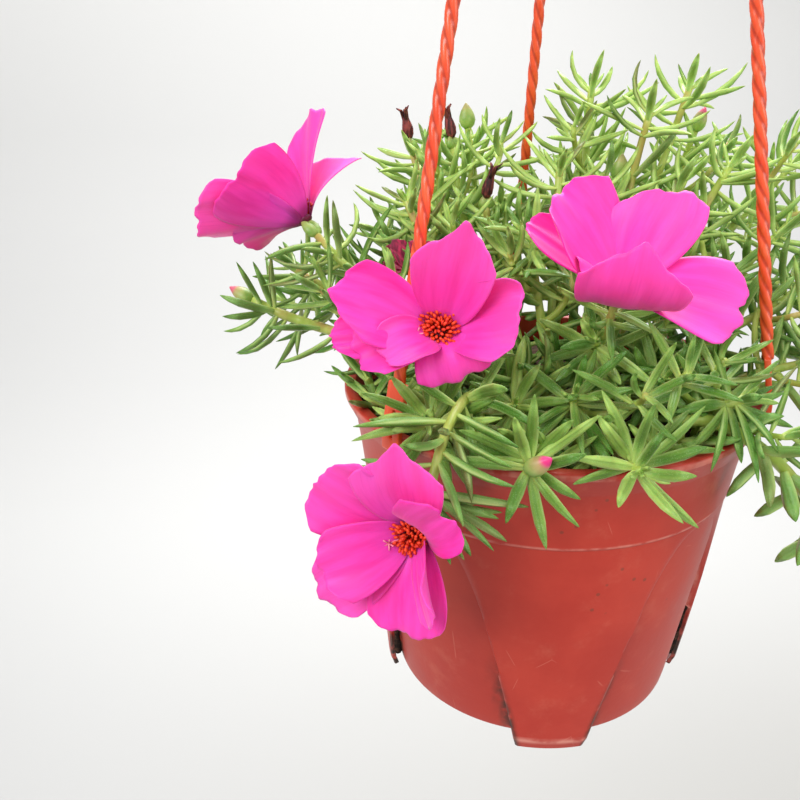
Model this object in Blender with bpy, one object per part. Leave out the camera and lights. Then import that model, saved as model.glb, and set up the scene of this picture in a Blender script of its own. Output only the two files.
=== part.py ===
"""A hanging pot of portulaca: the plastic pot, its soil, its twisted hanger, and the plant with its
leafy stems, blooms and buds. Metres, +Z up. The origin is where the hook bears on what it hangs
from, and the pot's front leg points to -Y."""

import collections
import math
import random

import bmesh
import bpy
import numpy as np
from mathutils import Matrix, Vector

MM = 0.001
GAP = 0.35 * MM

# Driving dimensions. Heights and depths are measured from the top of the pot's rim.
RIM_RADIUS = 70.0 * MM
RIM_INNER_RADIUS = 66.0 * MM
LIP_EDGE = 2.2 * MM
LIP_DEPTH = 8.6 * MM
LIP_FOOT_RADIUS = 66.5 * MM
COLLAR_RADIUS = 63.7 * MM
COLLAR_DEPTH = 28.2 * MM
BODY_TOP_RADIUS = 62.6 * MM
BODY_TOP_DEPTH = 30.0 * MM
BODY_BOTTOM_RADIUS = 51.3 * MM
BODY_DEPTH = 110.5 * MM
POT_WALL = 1.5 * MM
POT_SIDES = 32
SOIL_SIDES = 24

LEGS = 4
LEG_DEPTH = 114.5 * MM
LEG_TOP_RADIUS = 62.95 * MM
LEG_BOTTOM_RADIUS = 55.2 * MM
FOOT_BEVEL = 3.8 * MM
LEG_SLOT_TOP = 83.0 * MM
LEG_WALL = 1.4 * MM
ARCH_SPREAD = math.radians(3.55)
DRAIN_HOLES = 5
DRAIN_RADIUS = 3.0 * MM
DRAIN_CIRCLE = 34.0 * MM

HOOK_ABOVE_RIM = 417.0 * MM
HOOK_INNER_RADIUS = 11.0 * MM
HOOK_ROD = 2.2 * MM
HOOK_STEPS = 13
COLLAR_CAP_TOP = 386.0 * MM
STRANDS_MEET = 389.0 * MM
STRAND_RADIUS = 1.95 * MM
STRAND_TOP = 370.5 * MM
STRAND_LINE_RADIUS = 71.4 * MM
STRAND_TURNS = {"left": -48.6, "back": 183.7, "right": 69.9}
CLIP_TOP = 17.0 * MM
CLIP_DEPTH = 4.6 * MM
CLIP_WIDTH = 7.4 * MM
CLIP_THICKNESS = 1.8 * MM
CLIP_SLOT = 1.2 * MM

SOIL_DEPTH = 10.0 * MM
SOIL_CROWN = 4.0 * MM
STEM_FOOT_DEPTH = 16.5 * MM

LEAF_WIDTH = 3.5 * MM
LEAF_THICKNESS = 1.7 * MM
STEM_RADIUS = 1.35 * MM
GOLDEN_TURN = math.radians(137.508)

# Colours of the finishes
TERRACOTTA = (0.44, 0.075, 0.05, 1.0)
HANGER_ORANGE = (0.85, 0.13, 0.03, 1.0)
SOIL_BROWN = (0.03, 0.02, 0.014, 1.0)
LEAF_GREEN = (0.14, 0.3, 0.06, 1.0)
PETAL_MAGENTA = (0.85, 0.03, 0.42, 1.0)
STAMEN_RED = (0.75, 0.06, 0.02, 1.0)
WILTED_CRIMSON = (0.35, 0.01, 0.09, 1.0)
DRY_PURPLE = (0.06, 0.015, 0.03, 1.0)


def clear_scene():
    for old in list(bpy.data.objects):
        bpy.data.objects.remove(old, do_unlink=True)


def finish(name, colour, roughness=0.5):
    """A plain Principled material."""
    material = bpy.data.materials.new(name)
    material.use_nodes = True
    shader = material.node_tree.nodes["Principled BSDF"]
    shader.inputs["Base Color"].default_value = colour
    shader.inputs["Roughness"].default_value = roughness
    shader.inputs["Metallic"].default_value = 0.0
    return material


def add_object(name, bm, material=None, smooth=True):
    """Turns a bmesh into an object of the scene."""
    mesh = bpy.data.meshes.new(name)
    bm.to_mesh(mesh)
    bm.free()
    if smooth:
        mesh.shade_smooth()
        mesh.set_sharp_from_angle(angle=math.radians(40))
    made = bpy.data.objects.new(name, mesh)
    if material:
        mesh.materials.append(material)
    bpy.context.scene.collection.objects.link(made)
    return made


def turned(profile, sides):
    """A closed solid turned round Z from (radius, height) points."""
    bm = bmesh.new()
    points = [bm.verts.new((radius, 0.0, height)) for radius, height in profile]
    edges = [bm.edges.new(pair) for pair in zip(points, points[1:])]
    if profile[0][0] > 0 or profile[-1][0] > 0:
        edges.append(bm.edges.new((points[-1], points[0])))
    bmesh.ops.spin(
        bm, geom=points + edges, axis=(0, 0, 1), cent=(0, 0, 0),
        angle=2 * math.pi, steps=sides, use_merge=True,
    )
    bmesh.ops.remove_doubles(bm, verts=bm.verts, dist=1e-6)
    bmesh.ops.recalc_face_normals(bm, faces=bm.faces)
    return bm


def prism(outline, matrix, depth):
    """A solid made from an outline in XY, pushed out along Z, then placed by a matrix."""
    bm = bmesh.new()
    face = bm.faces.new([bm.verts.new((x, y, 0.0)) for x, y in outline])
    pushed = bmesh.ops.extrude_face_region(bm, geom=[face])
    moved = [item for item in pushed["geom"] if isinstance(item, bmesh.types.BMVert)]
    bmesh.ops.translate(bm, verts=moved, vec=(0, 0, depth))
    bmesh.ops.recalc_face_normals(bm, faces=bm.faces)
    bmesh.ops.transform(bm, matrix=matrix, verts=bm.verts)
    return bm


def merge(target, others, operation, solver="EXACT"):
    """Joins or cuts an object with a group of helpers, then removes the helpers."""
    group = bpy.data.collections.new("helpers of " + target.name)
    for other in others:
        bpy.context.scene.collection.objects.unlink(other)
        group.objects.link(other)
    step = target.modifiers.new(operation.lower(), "BOOLEAN")
    step.operation = operation
    step.operand_type = "COLLECTION"
    step.collection = group
    step.solver = solver
    graph = bpy.context.evaluated_depsgraph_get()
    made = bpy.data.meshes.new_from_object(target.evaluated_get(graph))
    target.modifiers.remove(step)
    old = target.data
    target.data = made
    made.name = target.name
    bpy.data.meshes.remove(old)
    for other in others:
        bpy.data.objects.remove(other, do_unlink=True)
    bpy.data.collections.remove(group)
    return target


def turned_place(turn):
    """The matrix that turns a shape built towards -Y by an angle round Z, seen from above."""
    return Matrix.Rotation(turn, 4, "Z")


# The pot


def body_radius(depth):
    """Outer radius of the pot's inner body at a depth below the rim."""
    share = (depth - BODY_TOP_DEPTH) / (BODY_DEPTH - BODY_TOP_DEPTH)
    return BODY_TOP_RADIUS + share * (BODY_BOTTOM_RADIUS - BODY_TOP_RADIUS)


def leg_radius(depth):
    """Outer radius of the legs at a depth below the rim."""
    share = (depth - BODY_TOP_DEPTH) / (LEG_DEPTH - BODY_TOP_DEPTH)
    return LEG_TOP_RADIUS + share * (LEG_BOTTOM_RADIUS - LEG_TOP_RADIUS)


def inner_radius(depth):
    """Radius of the inside of the pot at a depth below the rim."""
    if depth < COLLAR_DEPTH:
        share = (depth - LIP_DEPTH) / (COLLAR_DEPTH - LIP_DEPTH)
        outer = LIP_FOOT_RADIUS + share * (COLLAR_RADIUS - LIP_FOOT_RADIUS)
    else:
        outer = body_radius(depth)
    return outer - POT_WALL


def pot_cup():
    """The cup that holds the soil, with its collar and flared lip."""
    bottom_inside = BODY_DEPTH - POT_WALL
    outside = [
        (0.0, -BODY_DEPTH),
        (BODY_BOTTOM_RADIUS - 0.6 * MM, -BODY_DEPTH),
        (BODY_BOTTOM_RADIUS, -BODY_DEPTH + 0.7 * MM),
        (BODY_TOP_RADIUS, -BODY_TOP_DEPTH),
        (COLLAR_RADIUS - 0.5 * MM, -COLLAR_DEPTH - 0.8 * MM),
        (COLLAR_RADIUS, -COLLAR_DEPTH),
        (LIP_FOOT_RADIUS, -LIP_DEPTH),
        (RIM_RADIUS, -LIP_EDGE),
        (RIM_RADIUS, -0.5 * MM),
        (RIM_RADIUS - 0.5 * MM, 0.0),
    ]
    inside = [
        (RIM_INNER_RADIUS, 0.0),
        (RIM_INNER_RADIUS - 0.6 * MM, -0.6 * MM),
        (inner_radius(LIP_DEPTH), -LIP_DEPTH),
        (inner_radius(COLLAR_DEPTH), -COLLAR_DEPTH),
        (inner_radius(bottom_inside), -bottom_inside),
        (0.0, -bottom_inside),
    ]
    return add_object("pot", turned(outside + inside, POT_SIDES))


def leg_shell():
    """The outer shell that the legs are cut from. Its lower part stands clear of the body."""
    top = COLLAR_DEPTH + 0.5 * MM
    bevel_top = LEG_DEPTH - FOOT_BEVEL
    foot = leg_radius(bevel_top) - 0.9 * MM
    profile = [
        (COLLAR_RADIUS - 0.9 * MM, -top),
        (leg_radius(BODY_TOP_DEPTH), -BODY_TOP_DEPTH),
        (leg_radius(bevel_top), -bevel_top),
        (foot, -LEG_DEPTH),
        (foot - LEG_WALL, -LEG_DEPTH),
        (leg_radius(bevel_top) - LEG_WALL, -bevel_top),
        (leg_radius(LEG_SLOT_TOP) - LEG_WALL, -LEG_SLOT_TOP),
        (body_radius(LEG_SLOT_TOP) - 0.7 * MM, -LEG_SLOT_TOP + 1.0 * MM),
        (BODY_TOP_RADIUS - 0.8 * MM, -BODY_TOP_DEPTH),
    ]
    return add_object("leg shell", turned(profile[::-1], POT_SIDES))


def arch_cutter(turn):
    """The space between two legs: an arch whose half width grows with the root of its depth."""
    drops = [0.0, 2.0, 6.0, 13.0, 24.0, 40.0, 62.0, 90.0]
    side = []
    for drop in drops:
        depth = BODY_TOP_DEPTH + drop * MM
        half_width = leg_radius(depth) * math.sin(ARCH_SPREAD * math.sqrt(drop))
        side.append((half_width, -depth))
    outline = [(-x, y) for x, y in side[:0:-1]] + side
    upright = Matrix.Rotation(math.radians(90), 4, "X")
    place = turned_place(turn) @ Matrix.Translation((0, -40 * MM, 0)) @ upright
    return add_object("arch", prism(outline, place, 40 * MM))


def make_pot():
    """The whole pot: the cup and its legs, one moulding."""
    shell = leg_shell()
    quarter = 2 * math.pi / LEGS
    merge(shell, [arch_cutter(quarter * (k + 0.5)) for k in range(LEGS)], "DIFFERENCE")
    pot = merge(pot_cup(), [shell], "UNION")
    holes = []
    for k in range(DRAIN_HOLES):
        turn = quarter / 2 + 2 * math.pi * k / DRAIN_HOLES
        bm = bmesh.new()
        bmesh.ops.create_cone(
            bm, segments=8, radius1=DRAIN_RADIUS, radius2=DRAIN_RADIUS, depth=8 * MM, cap_ends=True,
        )
        bmesh.ops.translate(bm, verts=bm.verts, vec=(0, -DRAIN_CIRCLE, -BODY_DEPTH))
        bmesh.ops.transform(bm, matrix=turned_place(turn), verts=bm.verts)
        holes.append(add_object("drain", bm))
    merge(pot, holes, "DIFFERENCE")
    pot.data.materials.clear()
    pot.data.materials.append(finish("terracotta plastic", TERRACOTTA, 0.45))
    pot.data.shade_smooth()
    pot.data.set_sharp_from_angle(angle=math.radians(32))
    return pot


# The soil


def soil_height(x, y):
    """Height of the soil's top over a point."""
    share = min(1.0, math.hypot(x, y) / inner_radius(SOIL_DEPTH))
    lumps = math.sin(x / (3.1 * MM) + 1.0) * math.sin(y / (3.7 * MM) + 2.0)
    fades = 1.0 - share ** 6
    return -SOIL_DEPTH + SOIL_CROWN * (1.0 - share * share) + 0.8 * MM * lumps * fades


def make_soil(feet):
    """The soil: it fills the pot, and has a plain hole for each stem that stands in it."""
    top = inner_radius(SOIL_DEPTH) - GAP
    bottom = BODY_DEPTH - POT_WALL - GAP
    profile = [(0.0, -bottom), (inner_radius(bottom) - GAP, -bottom)]
    profile.append((inner_radius(COLLAR_DEPTH) - GAP, -COLLAR_DEPTH))
    profile += [(top * share, -SOIL_DEPTH) for share in (1.0, 0.75, 0.4, 0.0)]
    bm = turned(profile, SOIL_SIDES)
    for vert in bm.verts:
        if vert.co.z > -SOIL_DEPTH - 0.1 * MM:
            vert.co.z = soil_height(vert.co.x, vert.co.y)
    soil = add_object("soil", bm, finish("potting soil", SOIL_BROWN, 0.95))
    holes = []
    for x, y, radius in feet:
        bm = bmesh.new()
        bmesh.ops.create_cone(
            bm, segments=5, radius1=radius, radius2=radius, depth=18 * MM, cap_ends=True,
        )
        low = -STEM_FOOT_DEPTH - GAP
        bmesh.ops.translate(bm, verts=bm.verts, vec=(x, y, low + 9 * MM))
        holes.append(add_object("stem hole", bm))
    return merge(soil, holes, "DIFFERENCE")


# Round rods that follow a route


def tube(route, radii, sides):
    """A closed rod along a list of points, with its own radius at each."""
    route = [Vector(point) for point in route]
    bm = bmesh.new()
    ways = [route[1] - route[0]]
    ways += [after - before for before, after in zip(route, route[2:])]
    ways.append(route[-1] - route[-2])
    side = ways[0].orthogonal().normalized()
    rings = []
    for point, way, radius in zip(route, ways, radii):
        way = way.normalized()
        side = (side - way * side.dot(way)).normalized()
        turn = way.cross(side)
        ring = []
        for k in range(sides):
            angle = 2 * math.pi * k / sides
            offset = side * math.cos(angle) + turn * math.sin(angle)
            ring.append(bm.verts.new(point + offset * radius))
        rings.append(ring)
    for low, high in zip(rings, rings[1:]):
        for k in range(sides):
            after = (k + 1) % sides
            bm.faces.new((low[k], low[after], high[after], high[k]))
    bm.faces.new(rings[0][::-1])
    bm.faces.new(rings[-1])
    return bm


def bezier(corners, share):
    """A point of the cubic curve that four points steer."""
    a, b, c, d = corners
    rest = 1.0 - share
    return (
        a * rest ** 3 + b * (3 * rest * rest * share)
        + c * (3 * rest * share * share) + d * share ** 3
    )


# The hanger


def at_rim(turn_degrees, radius, height):
    """A point at a turn round the pot, counted from -Y towards +X."""
    turn = math.radians(turn_degrees)
    return Vector((radius * math.sin(turn), -radius * math.cos(turn), height))


def strand_point(turn_degrees, height):
    """A point on the straight line of a strand, from the rim to where the strands meet."""
    radius = STRAND_LINE_RADIUS * (1.0 - height / STRANDS_MEET)
    return at_rim(turn_degrees, radius, height)


def make_strand(side, turn_degrees, orange):
    """One strand of the hanger, straight from its clip to the hook's collar."""
    low = strand_point(turn_degrees, CLIP_TOP + GAP)
    high = strand_point(turn_degrees, STRAND_TOP)
    return add_object(
        "strand_" + side, tube([low, high], [STRAND_RADIUS] * 2, 10), orange
    )


def make_clip(side, turn_degrees, orange):
    """A flat clip: it hangs its nose under the lip, and its slot lets the nose spring."""
    near = RIM_RADIUS + GAP
    far = near + CLIP_THICKNESS
    catch = -LIP_EDGE - GAP
    slope = (RIM_RADIUS - LIP_FOOT_RADIUS) / (LIP_DEPTH - LIP_EDGE)
    nose_depth = CLIP_DEPTH - 0.4 * MM
    nose = near - slope * (nose_depth - LIP_EDGE)
    lean = STRAND_LINE_RADIUS / STRANDS_MEET * CLIP_TOP
    outline = [
        (nose, -CLIP_DEPTH), (nose, -nose_depth), (near, catch), (near, 1.5 * MM),
        (near - lean, CLIP_TOP), (far - lean + 0.3 * MM, CLIP_TOP), (far, 1.5 * MM),
        (far, -CLIP_DEPTH + 0.8 * MM), (far - 0.8 * MM, -CLIP_DEPTH),
    ]
    upright = Matrix.Rotation(math.radians(90), 4, "X")
    outwards = Matrix.Rotation(math.radians(-90), 4, "Z")
    place = turned_place(math.radians(turn_degrees)) @ outwards @ upright
    centred = Matrix.Translation((0, 0, -CLIP_WIDTH / 2))
    clip = add_object("clip_" + side, prism(outline, place @ centred, CLIP_WIDTH), orange)
    slot = bmesh.new()
    bmesh.ops.create_cube(slot, size=1.0)
    bmesh.ops.scale(slot, vec=(CLIP_SLOT, 8 * MM, 9 * MM), verts=slot.verts)
    middle = Matrix.Translation((0.4 * MM, -near, 4.5 * MM))
    bmesh.ops.transform(
        slot, matrix=turned_place(math.radians(turn_degrees)) @ middle, verts=slot.verts
    )
    merge(clip, [add_object("slot", slot)], "DIFFERENCE")
    return clip


def make_hook(orange):
    """The hook: a round rod bent over, grown from the collar that the strands end in."""
    centre = HOOK_ABOVE_RIM - HOOK_INNER_RADIUS
    bend = HOOK_INNER_RADIUS + HOOK_ROD
    route = [Vector((0, 0, STRANDS_MEET - 8 * MM)), Vector((0, 0, centre - bend - 1 * MM))]
    for k in range(HOOK_STEPS):
        turn = math.radians(-70 + 259 * k / (HOOK_STEPS - 1))
        route.append(Vector((bend * math.cos(turn), 0, centre + bend * math.sin(turn))))
    rod = add_object("hook rod", tube(route, [HOOK_ROD] * len(route), 8))
    top, low = COLLAR_CAP_TOP, STRAND_TOP + GAP
    profile = [
        (0.0, low), (6.4 * MM, low), (6.8 * MM, low + 1.0 * MM), (5.2 * MM, low + 9.0 * MM),
        (3.4 * MM, top), (0.0, top),
    ]
    hook = merge(add_object("hanger_hook", turned(profile, 16)), [rod], "UNION")
    hook.data.materials.clear()
    hook.data.materials.append(orange)
    return hook


# Room between the plant's pieces


def outer_radius(depth):
    """Outer radius of the pot at a depth below the rim, for keeping leaves off it."""
    if depth < LIP_DEPTH:
        return RIM_RADIUS
    if depth < COLLAR_DEPTH:
        return LIP_FOOT_RADIUS
    return leg_radius(depth)


def room_by_pot(point):
    """How far a point of the plant is from the pot and the soil."""
    across = math.hypot(point[0], point[1])
    depth = -point[2]
    if depth < 0:
        aside = max(RIM_INNER_RADIUS - across, across - RIM_RADIUS, 0.0)
        return math.hypot(aside, depth)
    if across > RIM_INNER_RADIUS:
        return across - outer_radius(depth)
    above_soil = point[2] - soil_height(point[0], point[1])
    return min(inner_radius(depth) - across, above_soil)


class Room:
    """Balls along every piece that is placed, so that pieces of different nodes stay apart."""

    def __init__(self):
        self.balls = np.empty((0, 4))
        self.owners = np.empty(0, dtype=int)

    def add(self, owner, points, radius):
        rows = np.array([[*point, radius] for point in points])
        self.balls = np.vstack([self.balls, rows])
        self.owners = np.append(self.owners, [owner] * len(rows))

    def least(self, owner, points, radius):
        """The smallest gap from these balls to the pot and to the pieces of other owners."""
        gap = min(room_by_pot(point) for point in points) - radius
        others = self.balls[self.owners != owner]
        if len(others):
            spans = np.array([tuple(point) for point in points])[:, None, :] - others[None, :, :3]
            gap = min(gap, float((np.sqrt((spans ** 2).sum(2)) - others[:, 3]).min()) - radius)
        return gap


# Leaves and stems


def leaf_line(leaf, steps):
    """Points along a leaf, whose lean from its stem changes evenly from root to tip."""
    root, axis, out, length, width, lean_root, lean_tip = leaf
    point = Vector(root)
    points = [point.copy()]
    for k in range(steps):
        lean = lean_root + (lean_tip - lean_root) * (k + 0.5) / steps
        way = axis * math.cos(lean) + out * math.sin(lean)
        point = point + way * (length / steps)
        points.append(point.copy())
    return points


LEAF_STATIONS = ((0.0, 0.3), (0.45, 1.0))


def leaf_solid(leaf):
    """A narrow fleshy leaf: flat above, keeled below, and pointed."""
    root, axis, out, length, width, lean_root, lean_tip = leaf
    points = leaf_line(leaf, 50)
    across = axis.cross(out).normalized()
    bm = bmesh.new()
    rings = []
    for place, share in LEAF_STATIONS:
        centre = points[round(place * 50)]
        lean = lean_root + (lean_tip - lean_root) * place
        above = axis * math.sin(lean) - out * math.cos(lean)
        half = across * (width / 2 * share)
        keel = above * (-LEAF_THICKNESS * (width / LEAF_WIDTH) * share * 0.75)
        lifted = centre + above * (LEAF_THICKNESS * share * 0.25)
        rings.append([bm.verts.new(lifted + half), bm.verts.new(lifted - half), bm.verts.new(centre + keel)])
    for low, high in zip(rings, rings[1:]):
        for k in range(3):
            after = (k + 1) % 3
            bm.faces.new((low[k], low[after], high[after], high[k]))
    tip = bm.verts.new(points[-1])
    for k in range(3):
        bm.faces.new((rings[-1][k], rings[-1][(k + 1) % 3], tip))
    bm.faces.new(rings[0][::-1])
    bmesh.ops.recalc_face_normals(bm, faces=bm.faces)
    return bm


# Blooms


# Where each bloom's stem stands, the middle of its throat and the way it faces, in millimetres. A
# petal has its turn, length, width, opening at the root and at the tip, and cupping: turns count
# round the bloom and openings up from its face plane, both in degrees.
BLOOMS = {
    "front": {
        "foot": (-26, -18), "centre": (-40, -53, 35), "face": (-0.1, -0.8, 0.6),
        "petals": [
            (148, 31, 29, 48, 6, 0.10), (84, 31, 27, 60, 36, 0.16), (18, 30, 27, 44, 6, 0.2),
            (-64, 19, 24, 40, -12, 0.10), (-125, 21, 25, 42, -8, 0.16), (190, 29, 22, 38, -4, 0.06),
        ],
    },
    "right": {
        "foot": (12, -12), "centre": (12, -38, 43), "face": (0.02, -0.52, 0.85),
        "petals": [
            (134, 35, 33, 54, 24, 0.08), (58, 35, 30, 52, 18, 0.08), (-20, 37, 31, 24, -18, 0.10),
            (-100, 21, 25, 60, 72, 0.22), (-152, 27, 22, 44, 20, 0.14),
        ],
    },
    "back_left": {
        "foot": (-38, 10), "centre": (-82, 12, 51), "face": (-0.58, 0.55, 0.6),
        "petals": [
            (196, 33, 31, 40, 12, 0.12), (135, 32, 31, 48, 18, 0.12), (58, 33, 24, 50, 30, 0.2),
            (-20, 30, 26, 50, 26, 0.12), (-92, 31, 29, 40, 10, 0.12),
        ],
    },
    "low_left": {
        "foot": (-27, -47), "centre": (-46, -77, -13), "face": (-0.42, -0.88, 0.06),
        "over": (36, (-43, -79, 18)),
        "petals": [
            (88, 30, 27, 50, 18, 0.16), (152, 33, 29, 38, 4, 0.10), (215, 33, 29, 36, 2, 0.12),
            (282, 33, 28, 38, 6, 0.10), (15, 26, 28, 62, 48, 0.18),
        ],
    },
}
PETAL_THICKNESS = 0.7 * MM
PETAL_NOTCH = 0.09
PETAL_STATIONS = (0.0, 0.33, 0.68, 1.0)
PETAL_COLUMNS = (-1.0, -0.5, 0.0, 0.5, 1.0)
WILTED_STATIONS = (0.0, 0.5, 1.0)
WILTED_COLUMNS = (-1.0, -0.2, 0.3, 1.0)
THROAT_RADIUS = 2.4 * MM
STAMENS = 7


def bloom_frame(bloom):
    """The matrix from a bloom's own space, with its face along +Z, to the pot's space."""
    face = Vector(bloom["face"]).normalized()
    aside = Vector((0, 0, 1)).cross(face).normalized()
    rise = face.cross(aside)
    turn = Matrix((aside, rise, face)).transposed().to_4x4()
    return Matrix.Translation(Vector(bloom["centre"]) * MM) @ turn


def petal_point(petal, along, across):
    """A point of a petal's middle surface in its bloom's space."""
    turn, length, width, open_root, open_tip, cup = petal
    reach = along * (1.0 - 0.17 * abs(across) ** 2.5 - PETAL_NOTCH * math.exp(-((across / 0.2) ** 2)))
    spread = 0.12 + 0.88 * (1.0 - (1.0 - reach) ** 2.2) ** 0.8 * (1.0 - 0.22 * reach ** 6)
    distance, height = 1.7, 0.8
    steps = 12
    for k in range(steps):
        opening = math.radians(open_root + (open_tip - open_root) * reach * (k + 0.5) / steps)
        distance += math.cos(opening) * length * reach / steps
        height += math.sin(opening) * length * reach / steps
    opening = math.radians(open_root + (open_tip - open_root) * reach)
    side = across * width / 2 * spread
    lift = cup * width * across * across * spread + 0.16 * side * reach
    lift += 0.6 * reach * reach * math.sin(7.0 * across + turn)
    distance -= lift * math.sin(opening)
    height += lift * math.cos(opening)
    angle = math.radians(turn)
    return Vector((
        (distance * math.cos(angle) - side * math.sin(angle)) * MM,
        (distance * math.sin(angle) + side * math.cos(angle)) * MM,
        height * MM,
    ))


def petal_solid(petal, stations, columns_at):
    """A petal as a thin closed sheet with a notched, waved end."""
    grid = [[petal_point(petal, u, v) for v in columns_at] for u in stations]
    rows, columns = len(grid), len(grid[0])
    bm = bmesh.new()
    faces = []
    verts = [[bm.verts.new(point) for point in row] for row in grid]
    for i in range(rows - 1):
        for j in range(columns - 1):
            corners = (verts[i][j], verts[i][j + 1], verts[i + 1][j + 1], verts[i + 1][j])
            faces.append(bm.faces.new(corners))
    bmesh.ops.triangulate(bm, faces=faces)
    bm.normal_update()
    bmesh.ops.solidify(bm, geom=bm.faces[:], thickness=PETAL_THICKNESS)
    bmesh.ops.recalc_face_normals(bm, faces=bm.faces)
    return bm


def cone(radius_low, radius_high, low, high, sides):
    """A straight cone or a cylinder along Z."""
    bm = bmesh.new()
    bmesh.ops.create_cone(
        bm, segments=sides, radius1=radius_low, radius2=radius_high, depth=high - low, cap_ends=True,
    )
    bmesh.ops.translate(bm, verts=bm.verts, vec=(0, 0, (low + high) / 2))
    return bm


def make_petals(name, bloom, magenta):
    """The petals of one bloom, joined at its throat."""
    sheets = [petal_solid(petal, PETAL_STATIONS, PETAL_COLUMNS) for petal in bloom["petals"]]
    petals = [add_object("petal", sheet) for sheet in sheets]
    throat = add_object(
        "petals_" + name, cone(THROAT_RADIUS, THROAT_RADIUS + 0.6 * MM, 0.0, 2.2 * MM, 6), magenta
    )
    joined = merge(throat, petals, "UNION")
    joined.data.transform(bloom_frame(bloom))
    joined.data.materials.clear()
    joined.data.materials.append(magenta)
    return joined


def make_stamens(name, bloom, red):
    """The cushion of stamens in a bloom's throat."""
    low = 2.2 * MM + GAP
    base = add_object("stamens_" + name, cone(1.3 * MM, 1.0 * MM, low, low + 1.4 * MM, 6), red)
    threads = []
    for k in range(STAMENS):
        lean = math.radians(5 + 17 * math.sqrt(k / STAMENS))
        turn = k * GOLDEN_TURN
        way = Vector((math.sin(lean) * math.cos(turn), math.sin(lean) * math.sin(turn), math.cos(lean)))
        root = Vector((0, 0, low + 0.3 * MM))
        threads.append(add_object("thread", tube([root, root + way * 6.0 * MM], [0.4 * MM, 0.75 * MM], 3)))
    joined = merge(base, threads, "UNION")
    joined.data.transform(bloom_frame(bloom))
    return joined


# Stems


# Each stem: its foot in the soil, its tip, the way its tip points and what it ends in. A stem that
# hangs over the rim also has the height it first rises to and the point it then bends round.
# Lengths are in millimetres.
STEMS = {
    "star": ((6, -24), (7, -37, 27), (-0.15, -0.8, 0.58), "crown"),
    "front_low": ((-13, -35), (-18, -50, 12), (-0.2, -0.8, 0.56), "crown"),
    "rim_whorl": ((-10, -50), (-17, -75, 4), (-0.2, -0.9, 0.4), "bud"),
    "rim_rosette": ((14, -48), (13, -75, 4), (0.0, -0.85, 0.52), "crown"),
    "left_rim": ((-36, -36), (-44, -57, 10), (-0.5, -0.65, 0.55), "crown"),
    "front_right": ((25, -26), (28, -38, 15), (0.25, -0.75, 0.6), "crown"),
    "left_trailing": ((-52, -2), (-103, 18, 22), (-0.85, 0.2, 0.45), "bud"),
    "front_mid": ((3, -38), (-2, -55, 17), (0.0, -0.7, 0.7), "crown"),
    "right_front": ((36, -34), (48, -50, 14), (0.5, -0.5, 0.6), "crown"),
    "centre_right": ((27, -8), (38, -16, 34), (0.25, -0.5, 0.8), "crown"),
    "right_trailing": ((28, -46), (90, -32, -48), (0.55, 0.85, -1.2), "crown", 25, (70, -62, -2)),
    "right_rising": ((38, -14), (84, 2, 33), (0.75, 0.1, 0.6), "crown"),
    "right_low": ((50, -22), (90, -10, 12), (0.85, 0.1, 0.3), "crown"),
    "back_high": ((12, 24), (19, 60, 89), (0.05, 0.2, 0.97), "crown"),
    "back_mid": ((-10, 34), (-25, 70, 74), (-0.1, 0.15, 0.97), "bud"),
    "back_right": ((30, 32), (54, 57, 90), (0.3, 0.2, 0.92), "crown"),
    "mid_right": ((22, 12), (35, 36, 84), (0.2, 0.0, 0.97), "crown"),
    "right_high": ((42, 12), (62, 70, 73), (0.3, 0.05, 0.9), "bud"),
    "middle": ((1, 4), (2, 17, 67), (0.0, -0.2, 0.97), "crown"),
    "middle_bud": ((14, 14), (27, 39, 60), (0.05, -0.1, 0.97), "bud"),
    "dry_left": ((-24, 26), (-47, 55, 70), (-0.2, 0.0, 0.97), "dry"),
    "dry_middle": ((-18, 14), (-32, 50, 71), (-0.1, 0.1, 0.97), "dry"),
    "dry_right": ((-8, -4), (-21, 27, 54), (0.0, -0.1, 0.99), "dry"),
    "left_high": ((-30, 2), (-49, 14, 58), (-0.35, -0.2, 0.9), "crown"),
    "left_mid": ((-48, 12), (-68, 6, 37), (-0.6, -0.35, 0.7), "crown"),
    "right_mid": ((50, 0), (82, 20, 48), (0.7, 0.0, 0.7), "crown"),
    "right_back": ((46, 28), (92, 48, 64), (0.65, 0.2, 0.7), "crown"),
    "centre_low": ((-2, -14), (-9, -6, 50), (-0.1, -0.5, 0.86), "crown"),
    "wilted": ((-34, -14), (-45, -2, 33), (-0.1, -0.2, 0.97), "wilted"),
}
BACK_STEMS = 6
SEED = 47
STEM_SIDES = 4
STEM_STEPS = 6
STEM_CLEAR = 6.5 * MM
STEM_TRIES = 60
STEM_PLAY = 0.12
STEM_RISE = 0.35
STEM_PULL = 0.4
CALYX_LENGTH = 7.0 * MM

Stem = collections.namedtuple("Stem", "foot route way ending")


def back_stems():
    """Stems behind the middle, spread evenly round the back by a rule with seeded play."""
    play = random.Random(SEED)
    found = {}
    for k in range(BACK_STEMS):
        low = k % 2
        turn = math.radians(100 + 160 * (k + 0.5) / BACK_STEMS + play.uniform(-6, 6))
        inner = 34 + 20 * low + play.uniform(-3, 3)
        reach = 66 + 30 * low + play.uniform(-6, 6)
        height = 70 - 42 * low + play.uniform(-8, 8)
        lean = 0.45 + 0.4 * low
        out = (math.sin(turn), -math.cos(turn))
        found["back_%d" % (k + 1)] = (
            (inner * out[0], inner * out[1]), (reach * out[0], reach * out[1], height),
            (lean * out[0], lean * out[1], 1.0 - lean * 0.6), "crown",
        )
    return found


def bloom_stems():
    """The stem of each bloom comes to it from behind."""
    found = {}
    for name, bloom in BLOOMS.items():
        found["bloom_" + name] = (
            bloom["foot"], bloom["centre"], bloom["face"], "bloom", *bloom.get("over", ()),
        )
    return found


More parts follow.
